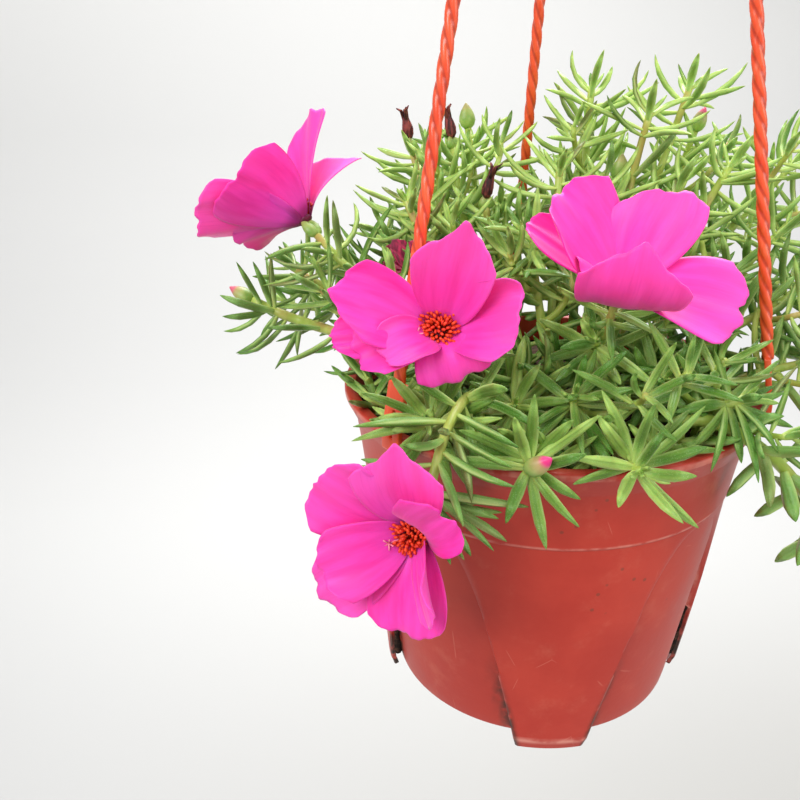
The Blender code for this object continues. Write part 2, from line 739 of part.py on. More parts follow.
def plan_stem(foot, tip, way, ending, rise=None, bend=None):
    """Works out a stem's route: straight up out of the soil, then one curve to its tip."""
    way = Vector(way).normalized()
    tip = Vector(tip) * MM
    if ending == "bloom":
        tip = tip - way * (CALYX_LENGTH - 1.0 * MM)
    low = Vector((foot[0] * MM, foot[1] * MM, -STEM_FOOT_DEPTH))
    base = Vector((low.x, low.y, -SOIL_DEPTH + STEM_CLEAR))
    span = (tip - base).length
    rise = span * STEM_RISE if rise is None else rise * MM
    bend = tip - way * span * STEM_PULL if bend is None else Vector(bend) * MM
    corners = (base, base + Vector((0, 0, rise)), bend, tip)
    route = [low] + [bezier(corners, k / STEM_STEPS) for k in range(STEM_STEPS + 1)]
    if ending != "bloom":
        way = (tip - bend).normalized()
    return Stem(low, route, way, ending)


def stem_radii(route):
    """A stem's radius at each point of its route: it narrows towards its tip."""
    return [STEM_RADIUS * (1.0 - 0.28 * k / (len(route) - 1)) for k in range(len(route))]


def frame_at(route, share):
    """The point and the way of a stem at a share of its route above the soil."""
    place = 1 + share * (len(route) - 2)
    before = min(int(place), len(route) - 2)
    step = route[before + 1] - route[before]
    return route[before] + step * (place - before), step.normalized()


def back_along(route, distance):
    """The point at a distance back from a stem's tip, and the stem's way there."""
    for after, before in zip(route[::-1], route[-2::-1]):
        step = after - before
        if distance <= step.length:
            break
        distance -= step.length
    return after - step.normalized() * distance, step.normalized()


# Where the leaves stand on a stem


CROWN_LEAVES = {"crown": 8, "bud": 7, "bloom": 6, "dry": 5, "wilted": 5}
CROWN_SPACING = 1.1 * MM
STEM_LEAF_FROM = 0.42
MOST_STEM_LEAVES = 5
STEM_LEAF_SPACING = 8.5
LEAF_TRIES = 14


def crown_leaf(stem, k, count, play):
    """A leaf of the ring round a stem's tip: the later ones stand closer in and are shorter."""
    inner = k / count
    back = (count - k) * CROWN_SPACING
    if stem.ending == "crown":
        lean, length = 84 - 50 * inner, 19.5 - 8.0 * inner
    else:
        back += 2.5 * MM
        lean, length = 76 - 14 * inner, 17.0 - 2.0 * inner
    root, way = back_along(stem.route, back)
    return root, way, lean + play.uniform(-7, 7), length + play.uniform(-1.5, 1.5)


def stem_leaf(stem, k, count, play):
    """A leaf along a stem, below the ring at its tip."""
    share = STEM_LEAF_FROM + (0.9 - STEM_LEAF_FROM) * (k + 0.5) / count + play.uniform(-0.03, 0.03)
    root, way = frame_at(stem.route, share)
    return root, way, 62 + play.uniform(-9, 9), 17.0 + play.uniform(-2.5, 2.5)


def leaf_balls(leaf):
    """The balls that stand for a leaf when room is looked for, and their radius."""
    points = leaf_line(leaf, 5)
    return points[1:], leaf[4] / 2


def place_leaves(owner, stem, room, play):
    """The leaves of a stem, each turned or shortened until it is clear of other nodes."""
    crown = CROWN_LEAVES[stem.ending]
    length = sum((b - a).length for a, b in zip(stem.route[1:], stem.route[2:]))
    along = min(MOST_STEM_LEAVES, int((length / MM - 14) / STEM_LEAF_SPACING))
    wanted = [crown_leaf(stem, k, crown, play) for k in range(crown)]
    wanted += [stem_leaf(stem, k, along, play) for k in range(along)]
    leaves = []
    start = play.uniform(0, 2 * math.pi)
    for k, (root, way, lean, size) in enumerate(wanted):
        side = way.orthogonal().normalized()
        for attempt in range(LEAF_TRIES):
            turn = start + k * GOLDEN_TURN + play.uniform(-0.09, 0.09) * attempt
            out = Matrix.Rotation(turn, 3, way) @ side
            tilt = math.radians(lean + play.uniform(-2.0, 1.0) * attempt)
            long = size * (1.0 - 0.03 * attempt) * MM
            leaf = (root, way, out, long, LEAF_WIDTH, tilt, tilt + math.radians(10))
            balls, radius = leaf_balls(leaf)
            if room.least(owner, balls, radius) > GAP:
                room.add(owner, balls, radius)
                leaves.append(leaf)
                break
    return leaves


# What a stem ends in


def bud_profile(length, radius):
    """Half the outline of a pointed bud, from its root to its tip."""
    shares = ((0.0, 0.5), (0.3, 1.0), (0.62, 0.78), (0.85, 0.34))
    return [(radius * across, length * up) for up, across in shares]


def pointed_bud(length, radius, sides):
    """A pointed bud along +Z from the origin."""
    profile = bud_profile(length, radius)
    return turned([(0.0, 0.0)] + profile + [(0.0, length)], sides)


def along(point, way):
    """The matrix that stands a shape built along +Z at a point, along a way."""
    return Matrix.Translation(point) @ way.to_track_quat("Z", "Y").to_matrix().to_4x4()


def ending_shape(stem):
    """The green shape at the tip of a stem that carries a bud or a bloom."""
    tip = stem.route[-1]
    if stem.ending == "bloom":
        bm = cone(1.2 * MM, 2.3 * MM, 0.0, CALYX_LENGTH - 1.0 * MM - GAP, 8)
    elif stem.ending == "bud":
        bm = pointed_bud(9.0 * MM, 2.5 * MM, 8)
    else:
        bm = cone(1.0 * MM, 1.9 * MM, -1.5 * MM, 2.0 * MM, 8)
    bmesh.ops.transform(bm, matrix=along(tip, stem.way), verts=bm.verts)
    return bm


def make_stem(name, stem, leaves):
    """A stem with its leaves and its bud or calyx, joined."""
    pieces = [add_object("leaf", leaf_solid(leaf)) for leaf in leaves]
    if stem.ending != "crown":
        pieces.append(add_object("ending", ending_shape(stem)))
    rod = add_object("stem_" + name, tube(stem.route, stem_radii(stem.route), STEM_SIDES))
    joined = merge(rod, pieces, "UNION")
    joined.data.materials.clear()
    joined.data.materials.append(finish("leaves " + name, LEAF_GREEN, 0.45))
    return joined


def make_dried_bud(name, stem):
    """A withered flower: a dark pointed twist on its green cup."""
    bm = pointed_bud(10.0 * MM, 2.6 * MM, 7)
    for vert in bm.verts:
        vert.co = Matrix.Rotation(vert.co.z / MM * 0.09, 3, "Z") @ vert.co
        vert.co.x += 0.012 / MM * vert.co.z ** 2
    place = along(stem.route[-1] + stem.way * (2.0 * MM + GAP), stem.way)
    bmesh.ops.transform(bm, matrix=place, verts=bm.verts)
    return add_object("dried_bud_" + name, bm, finish("dried bud " + name, DRY_PURPLE, 0.6))


WILTED_PETALS = [
    (0, 14, 12, 72, 50, 0.2), (90, 12, 12, 74, 20, 0.2), (180, 14, 12, 72, 45, 0.2), (270, 12, 11, 74, 15, 0.2),
]


def make_wilted_bloom(stem):
    """A bloom that has shrivelled: short crumpled petals that stand nearly shut."""
    crimson = finish("wilted crimson", WILTED_CRIMSON, 0.7)
    sheets = [petal_solid(petal, WILTED_STATIONS, WILTED_COLUMNS) for petal in WILTED_PETALS]
    petals = [add_object("petal", sheet) for sheet in sheets]
    throat = add_object("wilted_bloom", cone(1.9 * MM, 2.8 * MM, 0.0, 3.0 * MM, 8), crimson)
    joined = merge(throat, petals, "UNION")
    joined.data.transform(along(stem.route[-1] + stem.way * (2.0 * MM + GAP), stem.way))
    joined.data.materials.clear()
    joined.data.materials.append(crimson)
    return joined


# The whole part


def keep_room(room):
    """Marks the space that the hanger, the blooms and the withered flowers take."""
    for owner, turn in STRAND_TURNS.items():
        line = [strand_point(turn, height * 3 * MM) for height in range(-2, 50)]
        room.add(owner, line, STRAND_RADIUS)
        edge = CLIP_WIDTH / 2
        for side in (-edge, 0.0, edge):
            middle = at_rim(turn, RIM_RADIUS + 1.2 * MM, 0.0) + side * at_rim(turn + 90, 1.0, 0.0)
            room.add(owner, [middle + Vector((0, 0, k * 2 * MM)) for k in range(-3, 10)], 1.6 * MM)
    for name, bloom in BLOOMS.items():
        place = bloom_frame(bloom)
        for petal in bloom["petals"]:
            spots = [(u / 8, v / 5) for u in range(9) for v in range(-5, 6)]
            points = [place @ petal_point(petal, u, v) for u, v in spots]
            room.add("petals " + name, points, 1.3 * MM)
        tuft = [place @ Vector((0, 0, height * MM)) for height in range(2, 9, 2)]
        room.add("petals " + name, tuft, 3.2 * MM)


def ending_balls(stem):
    """The balls that stand for what a stem ends in, and their radius."""
    if stem.ending in ("crown", "bloom"):
        return [stem.route[-1]], STEM_RADIUS
    reach = 14 if stem.ending != "wilted" else 12
    points = [stem.route[-1] + stem.way * k * MM for k in range(0, reach, 2)]
    return points, (3.0 if stem.ending != "wilted" else 6.5) * MM


def settle_stem(name, values, room, play):
    """Plans a stem, shifting its foot and its tip a little until it is clear of other nodes."""
    foot, tip, way, ending, *over = values
    loose = 0.0 if ending == "bloom" else 1.0
    last = 0.8 if ending == "bloom" else 1.0
    for attempt in range(STEM_TRIES):
        reach = STEM_PLAY * attempt
        a, b, c, d = (play.uniform(-reach, reach) for _ in range(4))
        moved_tip = (tip[0] + c * loose, tip[1] + d * loose, tip[2])
        stem = plan_stem((foot[0] + a, foot[1] + b), moved_tip, way, ending, *over)
        line = [frame_at(stem.route, 0.06 + (last - 0.06) * k / 30)[0] for k in range(31)]
        ending_points, ending_radius = ending_balls(stem)
        gaps = [room.least(name, line, STEM_RADIUS)]
        if ending != "bloom":
            gaps.append(room.least(name, ending_points, ending_radius))
        if min(gaps) > GAP:
            break
    room.add(name, [frame_at(stem.route, k / 30)[0] for k in range(31)], STEM_RADIUS)
    room.add(name, ending_points, ending_radius)
    return stem


def place_plant():
    """Plans every stem and its leaves, keeping the nodes apart."""
    table = {**bloom_stems(), **STEMS, **back_stems()}
    room = Room()
    keep_room(room)
    play = random.Random(SEED)
    stems = {name: settle_stem(name, values, room, play) for name, values in table.items()}
    return {name: (stem, place_leaves(name, stem, room, play)) for name, stem in stems.items()}


def main():
    clear_scene()
    orange = finish("orange plastic", HANGER_ORANGE, 0.3)
    magenta = finish("magenta petals", PETAL_MAGENTA, 0.45)
    red = finish("stamens", STAMEN_RED, 0.6)
    make_pot()
    make_hook(orange)
    for side, turn in STRAND_TURNS.items():
        make_strand(side, turn, orange)
        make_clip(side, turn, orange)
    plant = place_plant()
    make_soil([(stem.foot.x, stem.foot.y, STEM_RADIUS + 2 * GAP) for stem, _ in plant.values()])
    for name, (stem, leaves) in plant.items():
        make_stem(name, stem, leaves)
        if stem.ending == "dry":
            make_dried_bud(name, stem)
        if stem.ending == "wilted":
            make_wilted_bloom(stem)
    for name, bloom in BLOOMS.items():
        make_petals(name, bloom, magenta)
        make_stamens(name, bloom, red)
    hangs_from = bpy.data.objects.new("hangs from here", None)
    hangs_from.location.z = -HOOK_ABOVE_RIM
    bpy.context.scene.collection.objects.link(hangs_from)
    for made in bpy.context.scene.collection.objects:
        if made is not hangs_from:
            made.parent = hangs_from


main()
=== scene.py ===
# %% [markdown]
# A pot of portulaca hangs from three twisted plastic strands. The model of it already exists as
# plain solids. This lesson gives every one of them the form and the finish of the real thing:
# fleshy leaves, thin ruffled petals, moulded plastic and damp soil. All lengths are in metres. The
# origin is the spot where the hook bears on what it hangs from.

# %% Load the fixed frame
import math
import random
from collections import namedtuple

import bmesh
import bpy
import numpy as np
from mathutils import Matrix, Vector


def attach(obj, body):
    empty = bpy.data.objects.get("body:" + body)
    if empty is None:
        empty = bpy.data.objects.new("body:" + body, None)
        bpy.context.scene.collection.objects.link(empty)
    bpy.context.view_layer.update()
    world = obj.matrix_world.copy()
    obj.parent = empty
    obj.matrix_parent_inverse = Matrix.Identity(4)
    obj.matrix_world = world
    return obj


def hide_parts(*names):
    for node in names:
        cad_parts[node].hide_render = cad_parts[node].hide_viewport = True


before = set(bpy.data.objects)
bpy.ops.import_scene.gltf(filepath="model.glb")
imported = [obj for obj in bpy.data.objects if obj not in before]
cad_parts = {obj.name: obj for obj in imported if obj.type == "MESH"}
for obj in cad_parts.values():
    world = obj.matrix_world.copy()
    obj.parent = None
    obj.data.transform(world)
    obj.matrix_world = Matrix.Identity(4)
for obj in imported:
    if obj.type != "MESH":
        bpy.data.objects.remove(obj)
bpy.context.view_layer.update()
MM = 0.001
print("nodes in the frame:", len(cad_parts))

# %% [markdown]
# Every shape below is modelled with its heights counted from the top of the pot's rim, because
# that is what the pot, the plant and the hanger share. A helper, add_piece, lowers a finished shape
# to its place, makes it an object, hangs it on the body and hides the plain solids that it stands
# for. The object itself stays at the origin, and its place is in its mesh.

# %% Turn a finished shape into a piece
HOOK_ABOVE_RIM = 417.0 * MM
RIM_TO_ORIGIN = Matrix.Translation((0, 0, -HOOK_ABOVE_RIM))


def to_mesh(name, bm):
    """Turns a finished shape into a mesh."""
    mesh = bpy.data.meshes.new(name)
    bm.to_mesh(mesh)
    bm.free()
    return mesh


def make_object(name, data):
    """Makes an object of some data and puts it into the scene."""
    made = bpy.data.objects.new(name, data)
    bpy.context.scene.collection.objects.link(made)
    return made


def add_piece(name, bm, materials, slot, *nodes):
    """Makes an object of a shape, riding on the body, and hides the plain solids of its nodes."""
    bmesh.ops.transform(bm, matrix=RIM_TO_ORIGIN, verts=bm.verts)
    mesh = to_mesh(name, bm)
    mesh.shade_smooth()
    for material in materials:
        mesh.materials.append(material)
    piece = make_object(name, mesh)
    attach(piece, "root")
    if nodes:
        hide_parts(*nodes)
    return piece


print("the rim is", HOOK_ABOVE_RIM / MM, "mm below the origin")

# %% [markdown]
# The photograph was taken from a little above the plant and close to it. A camera is only a place,
# a tilt and a lens length. These values put the pot's rim, its foot and the strands where the
# photograph has them, which was worked out from their sizes.

# %% Set up the camera
CAMERA_PLACE = Vector((-51.0, -286.0, 118.5)) * MM
CAMERA_PITCH = math.radians(23.95)
LENS = 40.39
SENSOR = 36.0


def make_camera():
    """A camera at the photograph's place and tilt."""
    data = bpy.data.cameras.new("camera")
    data.lens = LENS
    data.sensor_width = SENSOR
    data.clip_start = 10 * MM
    camera = make_object("camera", data)
    camera.location = RIM_TO_ORIGIN @ CAMERA_PLACE
    camera.rotation_euler = (math.radians(90) - CAMERA_PITCH, 0, 0)
    bpy.context.scene.camera = camera
    return camera


print("camera at", tuple(make_camera().location))

# %% [markdown]
# A material is a small network of nodes. Short helpers keep the networks below readable: they make
# the material, add a node and wire its inputs, blend two colours, lay a colour over another where a
# mask allows it, and do arithmetic on masks. A mask is a grey value from 0 to 1. Colours are
# written as they look on a screen, from 0 to 255, and are turned into the linear light that the
# shader works in.

# %% Helpers for materials


def screen(red, green, blue):
    """A linear colour from the values that it has on a screen."""
    values = [value / 255 for value in (red, green, blue)]
    lit = [v / 12.92 if v <= 0.04045 else ((v + 0.055) / 1.055) ** 2.4 for v in values]
    return (*lit, 1.0)


def new_material(name, **sockets):
    """A material and its shader, with the shader's plain values set."""
    material = bpy.data.materials.new(name)
    material.use_nodes = True
    shader = material.node_tree.nodes["Principled BSDF"]
    for socket, value in sockets.items():
        shader.inputs[socket.replace("_", " ")].default_value = value
    return material, material.node_tree, shader


def feed(tree, socket, value):
    """Wires a node's output to a socket, or sets the socket's own value."""
    if isinstance(value, bpy.types.NodeSocket):
        tree.links.new(value, socket)
    else:
        socket.default_value = value


def add_node(tree, kind, inputs=None, **choices):
    """Adds a node, makes its choices, feeds its inputs and returns its outputs."""
    node = tree.nodes.new("ShaderNode" + kind)
    for choice, value in choices.items():
        setattr(node, choice, value)
    for key, value in (inputs or {}).items():
        feed(tree, node.inputs[key], value)
    return node.outputs


def mixed(tree, factor, first, second):
    """Blends two colours by a factor."""
    node = tree.nodes.new("ShaderNodeMix")
    node.data_type = "RGBA"
    for place, value in ((0, factor), (6, first), (7, second)):
        feed(tree, node.inputs[place], value)
    return node.outputs[2]


def maths(tree, operation, *values):
    """One step of arithmetic on wires or numbers."""
    node = tree.nodes.new("ShaderNodeMath")
    node.operation = operation
    for socket, value in zip(node.inputs, values):
        feed(tree, socket, value)
    return node.outputs[0]


def inverse(tree, mask):
    """The mask turned round: 1 where it was 0."""
    return maths(tree, "SUBTRACT", 1.0, mask)


def laid_over(tree, base, colour, mask, strength):
    """A base with a colour over it where a mask allows it, at a strength."""
    return mixed(tree, maths(tree, "MULTIPLY", mask, strength), base, colour)


def between(tree, value, low, high):
    """Turns the span from low to high into 0 to 1, softly."""
    return add_node(
        tree, "MapRange", {0: value, 1: low, 2: high}, interpolation_type="SMOOTHSTEP"
    )[0]


def painted(tree, name):
    """The outputs of a node that reads what was painted on the mesh under a name."""
    return add_node(tree, "Attribute", attribute_name=name)


def object_place(tree, scale=(1.0, 1.0, 1.0)):
    """The place on the object, stretched by a Mapping node."""
    place = add_node(tree, "TexCoord")["Object"]
    return add_node(tree, "Mapping", {"Vector": place, "Scale": scale})[0]


def noise(tree, place, scale, detail=3.0, rough=0.5, distortion=0.0):
    """The grey value of a Noise texture."""
    inputs = {
        "Vector": place, "Scale": scale, "Detail": detail, "Roughness": rough,
        "Distortion": distortion,
    }
    return add_node(tree, "TexNoise", inputs)["Fac"]


def bump(tree, shader, height, strength, distance):
    """Raises the surface by a height wire."""
    inputs = {"Strength": strength, "Distance": distance, "Height": height}
    tree.links.new(add_node(tree, "Bump", inputs)["Normal"], shader.inputs["Normal"])


print("mid grey on a screen is", round(screen(128, 128, 128)[0], 3), "in light")

# %% [markdown]
# The pot is thin terracotta-coloured plastic that has been used. Its colour is nearly even, with
# faint cloudy wear, a few pale hair-thin scratches and small specks of soil. Its edges are paler,
# partly scuffed and partly a painted highlight, and the slots beside its legs are darkened with
# soil and painted shade. Noise makes the clouds. The scratches are the borders of Voronoi cells,
# which are straight, kept only in a few places. The pale edges and the dark slots are painted on
# the mesh as attributes, because only the model knows where its edges are.

# %% Terracotta plastic


def make_terracotta():
    """Used terracotta plastic: scuffed and highlighted pale edges, soil and painted shade in the
    slots.
    """
    material, tree, shader = new_material("terracotta plastic", Specular_IOR_Level=0.28)
    place = object_place(tree)
    clouds = noise(tree, place, 26.0, 5.0, 0.6)
    base = mixed(tree, between(tree, clouds, 0.3, 0.7), screen(176, 51, 39), screen(190, 63, 48))
    dust = between(tree, noise(tree, place, 70.0, 6.0, 0.65), 0.52, 0.78)
    base = laid_over(tree, base, screen(206, 112, 88), dust, 0.3)
    drawn_out = {"Vector": object_place(tree, (1.0, 1.0, 0.5)), "Scale": 60.0}
    lines = add_node(tree, "TexVoronoi", drawn_out, feature="DISTANCE_TO_EDGE")["Distance"]
    thin = inverse(tree, between(tree, lines, 0.002, 0.009))
    rare = between(tree, noise(tree, object_place(tree, (1.0, 1.0, 1.6)), 48.0, 2.0), 0.6, 0.66)
    scratch = maths(tree, "MULTIPLY", thin, rare)
    base = laid_over(tree, base, screen(226, 148, 126), scratch, 0.22)
    cells = add_node(tree, "TexVoronoi", {"Vector": place, "Scale": 210.0})
    speck = inverse(tree, between(tree, cells["Distance"], 0.1, 0.17))
    few = between(tree, noise(tree, place, 33.0, 1.0), 0.62, 0.66)
    base = laid_over(tree, base, screen(110, 62, 46), maths(tree, "MULTIPLY", speck, few), 0.6)
    # Pale edge lines on the rim, the collar and the legs: partly scuffing, partly a painted
    # highlight.
    worn_and_lit = painted(tree, "wear_and_highlight")["Fac"]
    rubbed_and_lit = maths(tree, "MULTIPLY", worn_and_lit, between(tree, noise(tree, place, 160.0), 0.3, 0.6))
    base = mixed(tree, rubbed_and_lit, base, screen(226, 150, 134))
    # Dark marks in the slots beside the legs: partly caked soil, partly painted shade in the gaps.
    dirt_and_shade = painted(tree, "dirt_and_shade")["Fac"]
    crust_and_shade = maths(tree, "MULTIPLY", dirt_and_shade, between(tree, noise(tree, place, 240.0, 6.0), 0.3, 0.52))
    base = mixed(tree, crust_and_shade, base, screen(58, 40, 31))
    tree.links.new(base, shader.inputs["Base Color"])
    gloss = add_node(tree, "MapRange", {0: clouds, 1: 0.3, 2: 0.7, 3: 0.34, 4: 0.5})[0]
    tree.links.new(gloss, shader.inputs["Roughness"])
    grain = maths(tree, "ADD", noise(tree, place, 420.0, 2.0), maths(tree, "MULTIPLY", crust_and_shade, 2.0))
    bump(tree, shader, grain, 0.16, 0.3 * MM)
    return material


terracotta = make_terracotta()
print("made", terracotta.name)

# %% [markdown]
# The pot is a cup with a flared collar and four legs. The cup is a turned form, so its outline is
# spun round Z. Each leg is a curved panel between two arches, whose edges sink into the cup near
# the top and stand free of it near the foot. A flat grid gives the panel its faces. Its columns
# are drawn to the panel's two edges, then bent round the pot, so the edges stay crisp.

# %% The pot's outline
RIM_RADIUS = 70.0 * MM
RIM_INNER_RADIUS = 66.0 * MM
LIP_EDGE = 2.2 * MM
LIP_DEPTH = 8.6 * MM
LIP_FOOT_RADIUS = 66.5 * MM
COLLAR_RADIUS = 63.7 * MM
COLLAR_DEPTH = 28.2 * MM
BODY_TOP_RADIUS = 62.6 * MM
BODY_TOP_DEPTH = 30.0 * MM
BODY_BOTTOM_RADIUS = 51.3 * MM
BODY_DEPTH = 110.5 * MM
POT_WALL = 1.5 * MM
LEGS = 4
LEG_DEPTH = 114.5 * MM
LEG_TOP_RADIUS = 62.95 * MM
LEG_BOTTOM_RADIUS = 55.2 * MM
LEG_WALL = 1.4 * MM
FOOT_BEVEL = 3.8 * MM
SLOT_TOP = 83.0 * MM
ARCH_SPREAD = math.radians(3.55)
SOIL_DEPTH = 10.0 * MM
SOIL_CROWN = 4.0 * MM


def body_radius(depth):
    """Outer radius of the cup at a depth below the rim."""
    share = (depth - BODY_TOP_DEPTH) / (BODY_DEPTH - BODY_TOP_DEPTH)
    return BODY_TOP_RADIUS + share * (BODY_BOTTOM_RADIUS - BODY_TOP_RADIUS)


def leg_radius(depth):
    """Outer radius of the legs at a depth below the rim."""
    share = (depth - BODY_TOP_DEPTH) / (LEG_DEPTH - BODY_TOP_DEPTH)
    return LEG_TOP_RADIUS + share * (LEG_BOTTOM_RADIUS - LEG_TOP_RADIUS)


def leg_half_width(depth):
    """Half of the angle that a leg spans at a depth below the rim."""
    return math.pi / LEGS - ARCH_SPREAD * math.sqrt(max(0.0, depth - BODY_TOP_DEPTH) / MM)


def inner_radius(depth):
    """Radius of the inside of the pot at a depth below the rim."""
    if depth >= COLLAR_DEPTH:
        return body_radius(depth) - POT_WALL
    share = (depth - LIP_DEPTH) / (COLLAR_DEPTH - LIP_DEPTH)
    return LIP_FOOT_RADIUS + share * (COLLAR_RADIUS - LIP_FOOT_RADIUS) - POT_WALL


def smooth(value, low=0.0, high=1.0):
    """Rises softly from 0 to 1 as the value goes from low to high."""
    share = min(1.0, max(0.0, (value - low) / (high - low)))
    return share * share * (3.0 - 2.0 * share)


print("the pot is", 2 * RIM_RADIUS / MM, "mm across its rim")

# %% Spin the cup
CUP_SIDES = 128
EDGE_WEAR_AND_HIGHLIGHT = 0.55


def spun(profile, sides):
    """A closed form spun round Z from points of (radius, height)."""
    bm = bmesh.new()
    points = [bm.verts.new((radius, 0.0, height)) for radius, height in profile]
    edges = [bm.edges.new(pair) for pair in zip(points, points[1:])]
    bmesh.ops.spin(
        bm, geom=points + edges, axis=(0, 0, 1), cent=(0, 0, 0),
        angle=2 * math.pi, steps=sides, use_merge=True,
    )
    bmesh.ops.remove_doubles(bm, verts=bm.verts, dist=1e-6)
    bmesh.ops.recalc_face_normals(bm, faces=bm.faces)
    return bm


def cup_profile():
    """The cup's outline, up its outside and down its inside."""
    floor = BODY_DEPTH - POT_WALL
    outside = [
        (0.0, -BODY_DEPTH), (BODY_BOTTOM_RADIUS * 0.6, -BODY_DEPTH),
        (BODY_BOTTOM_RADIUS - 1.0 * MM, -BODY_DEPTH),
        (BODY_BOTTOM_RADIUS - 0.25 * MM, -BODY_DEPTH + 0.25 * MM),
        (BODY_BOTTOM_RADIUS, -BODY_DEPTH + 1.0 * MM),
    ]
    depths = (106, 100, 92, 83, 72, 60, 48, 40, 34, 31)
    outside += [(body_radius(depth * MM), -depth * MM) for depth in depths]
    collar = [
        (BODY_TOP_RADIUS, -BODY_TOP_DEPTH), (COLLAR_RADIUS - 0.5 * MM, -COLLAR_DEPTH - 0.9 * MM),
        (COLLAR_RADIUS - 0.1 * MM, -COLLAR_DEPTH - 0.35 * MM), (COLLAR_RADIUS, -COLLAR_DEPTH),
        (COLLAR_RADIUS + 0.02 * MM, -COLLAR_DEPTH + 0.5 * MM),
        (COLLAR_RADIUS + 1.3 * MM, -18.0 * MM), (LIP_FOOT_RADIUS - 0.1 * MM, -LIP_DEPTH - 0.6 * MM),
        (LIP_FOOT_RADIUS + 0.4 * MM, -LIP_DEPTH + 0.4 * MM),
    ]
    lip = [
        (RIM_RADIUS - 0.4 * MM, -LIP_EDGE - 0.4 * MM), (RIM_RADIUS, -LIP_EDGE + 0.2 * MM),
        (RIM_RADIUS, -0.8 * MM), (RIM_RADIUS - 0.25 * MM, -0.2 * MM), (RIM_RADIUS - 0.8 * MM, 0.0),
        (RIM_INNER_RADIUS + 0.4 * MM, 0.0), (RIM_INNER_RADIUS, -0.4 * MM),
        (inner_radius(LIP_DEPTH), -LIP_DEPTH), (inner_radius(COLLAR_DEPTH), -COLLAR_DEPTH),
        (inner_radius(floor) - 1.0 * MM, -floor + 0.4 * MM), (0.0, -floor),
    ]
    return outside + collar + lip


pot_form = spun(cup_profile(), CUP_SIDES)
wear_and_highlight = pot_form.verts.layers.float.new("wear_and_highlight")
dirt_and_shade = pot_form.verts.layers.float.new("dirt_and_shade")
for vert in pot_form.verts:
    across = math.hypot(vert.co.x, vert.co.y)
    # The rim's outer edge and the collar's edge get a pale line: partly scuffing, partly a painted
    # highlight.
    on_collar_edge = abs(vert.co.z + COLLAR_DEPTH + 0.2 * MM) < 0.3 * MM
    on_rim_edge = abs(across - RIM_RADIUS) < 0.1 * MM
    if across > inner_radius(COLLAR_DEPTH) and (on_collar_edge or on_rim_edge):
        vert[wear_and_highlight] = EDGE_WEAR_AND_HIGHLIGHT
    # Low on the cup beside the legs' edges: a dark mark of soil and painted shade in the slots.
    turn_in_leg = (math.atan2(vert.co.x, -vert.co.y) + math.pi / LEGS) % (2 * math.pi / LEGS)
    from_leg_edge = abs(abs(turn_in_leg - math.pi / LEGS) - leg_half_width(-vert.co.z))
    if across > body_radius(-vert.co.z) - 0.5 * MM:
        low = smooth(-vert.co.z, 74 * MM, 96 * MM)
        vert[dirt_and_shade] = low * (1.0 - smooth(from_leg_edge, 0.02, 0.09))
print("cup faces:", len(pot_form.faces))

# %% Bend the four legs round the cup
LEG_COLUMNS = 36
LEG_ROWS = 44
LEG_SINK = 0.35 * MM
EDGE_DROP = 0.45 * MM
FOOT_DROP = 0.9 * MM
LEG_EDGE_WEAR_AND_HIGHLIGHT = 0.9
FOOT_WEAR_AND_HIGHLIGHT = 0.8


def leg_place(turn, across, share):
    """A point on a leg's outside, its distance from the leg's edge, and its depth."""
    depth = COLLAR_DEPTH + 0.2 * MM + share * (LEG_DEPTH - COLLAR_DEPTH - 0.2 * MM)
    fall = max(0.0, depth - BODY_TOP_DEPTH) / MM
    half_width = leg_half_width(depth)
    radius = leg_radius(depth)
    inset = (1.0 - abs(across)) * half_width * radius
    sunk = radius - body_radius(depth) + LEG_SINK
    rounding = (5.5 - 4.7 * smooth(fall, 2, 40)) * MM
    blend = (1.0 - smooth(inset, 0.0, rounding)) * smooth(fall, 0.5, 3.0)
    free = smooth(depth, SLOT_TOP - 1.5 * MM, SLOT_TOP)
    drop = blend * (sunk * (1.0 - free) + EDGE_DROP * free)
    drop += FOOT_DROP * smooth(depth, LEG_DEPTH - FOOT_BEVEL, LEG_DEPTH - 0.5 * MM)
    angle = turn + across * half_width
    point = Vector((math.sin(angle), -math.cos(angle), 0.0)) * (radius - drop)
    point.z = -depth
    return point, inset, depth


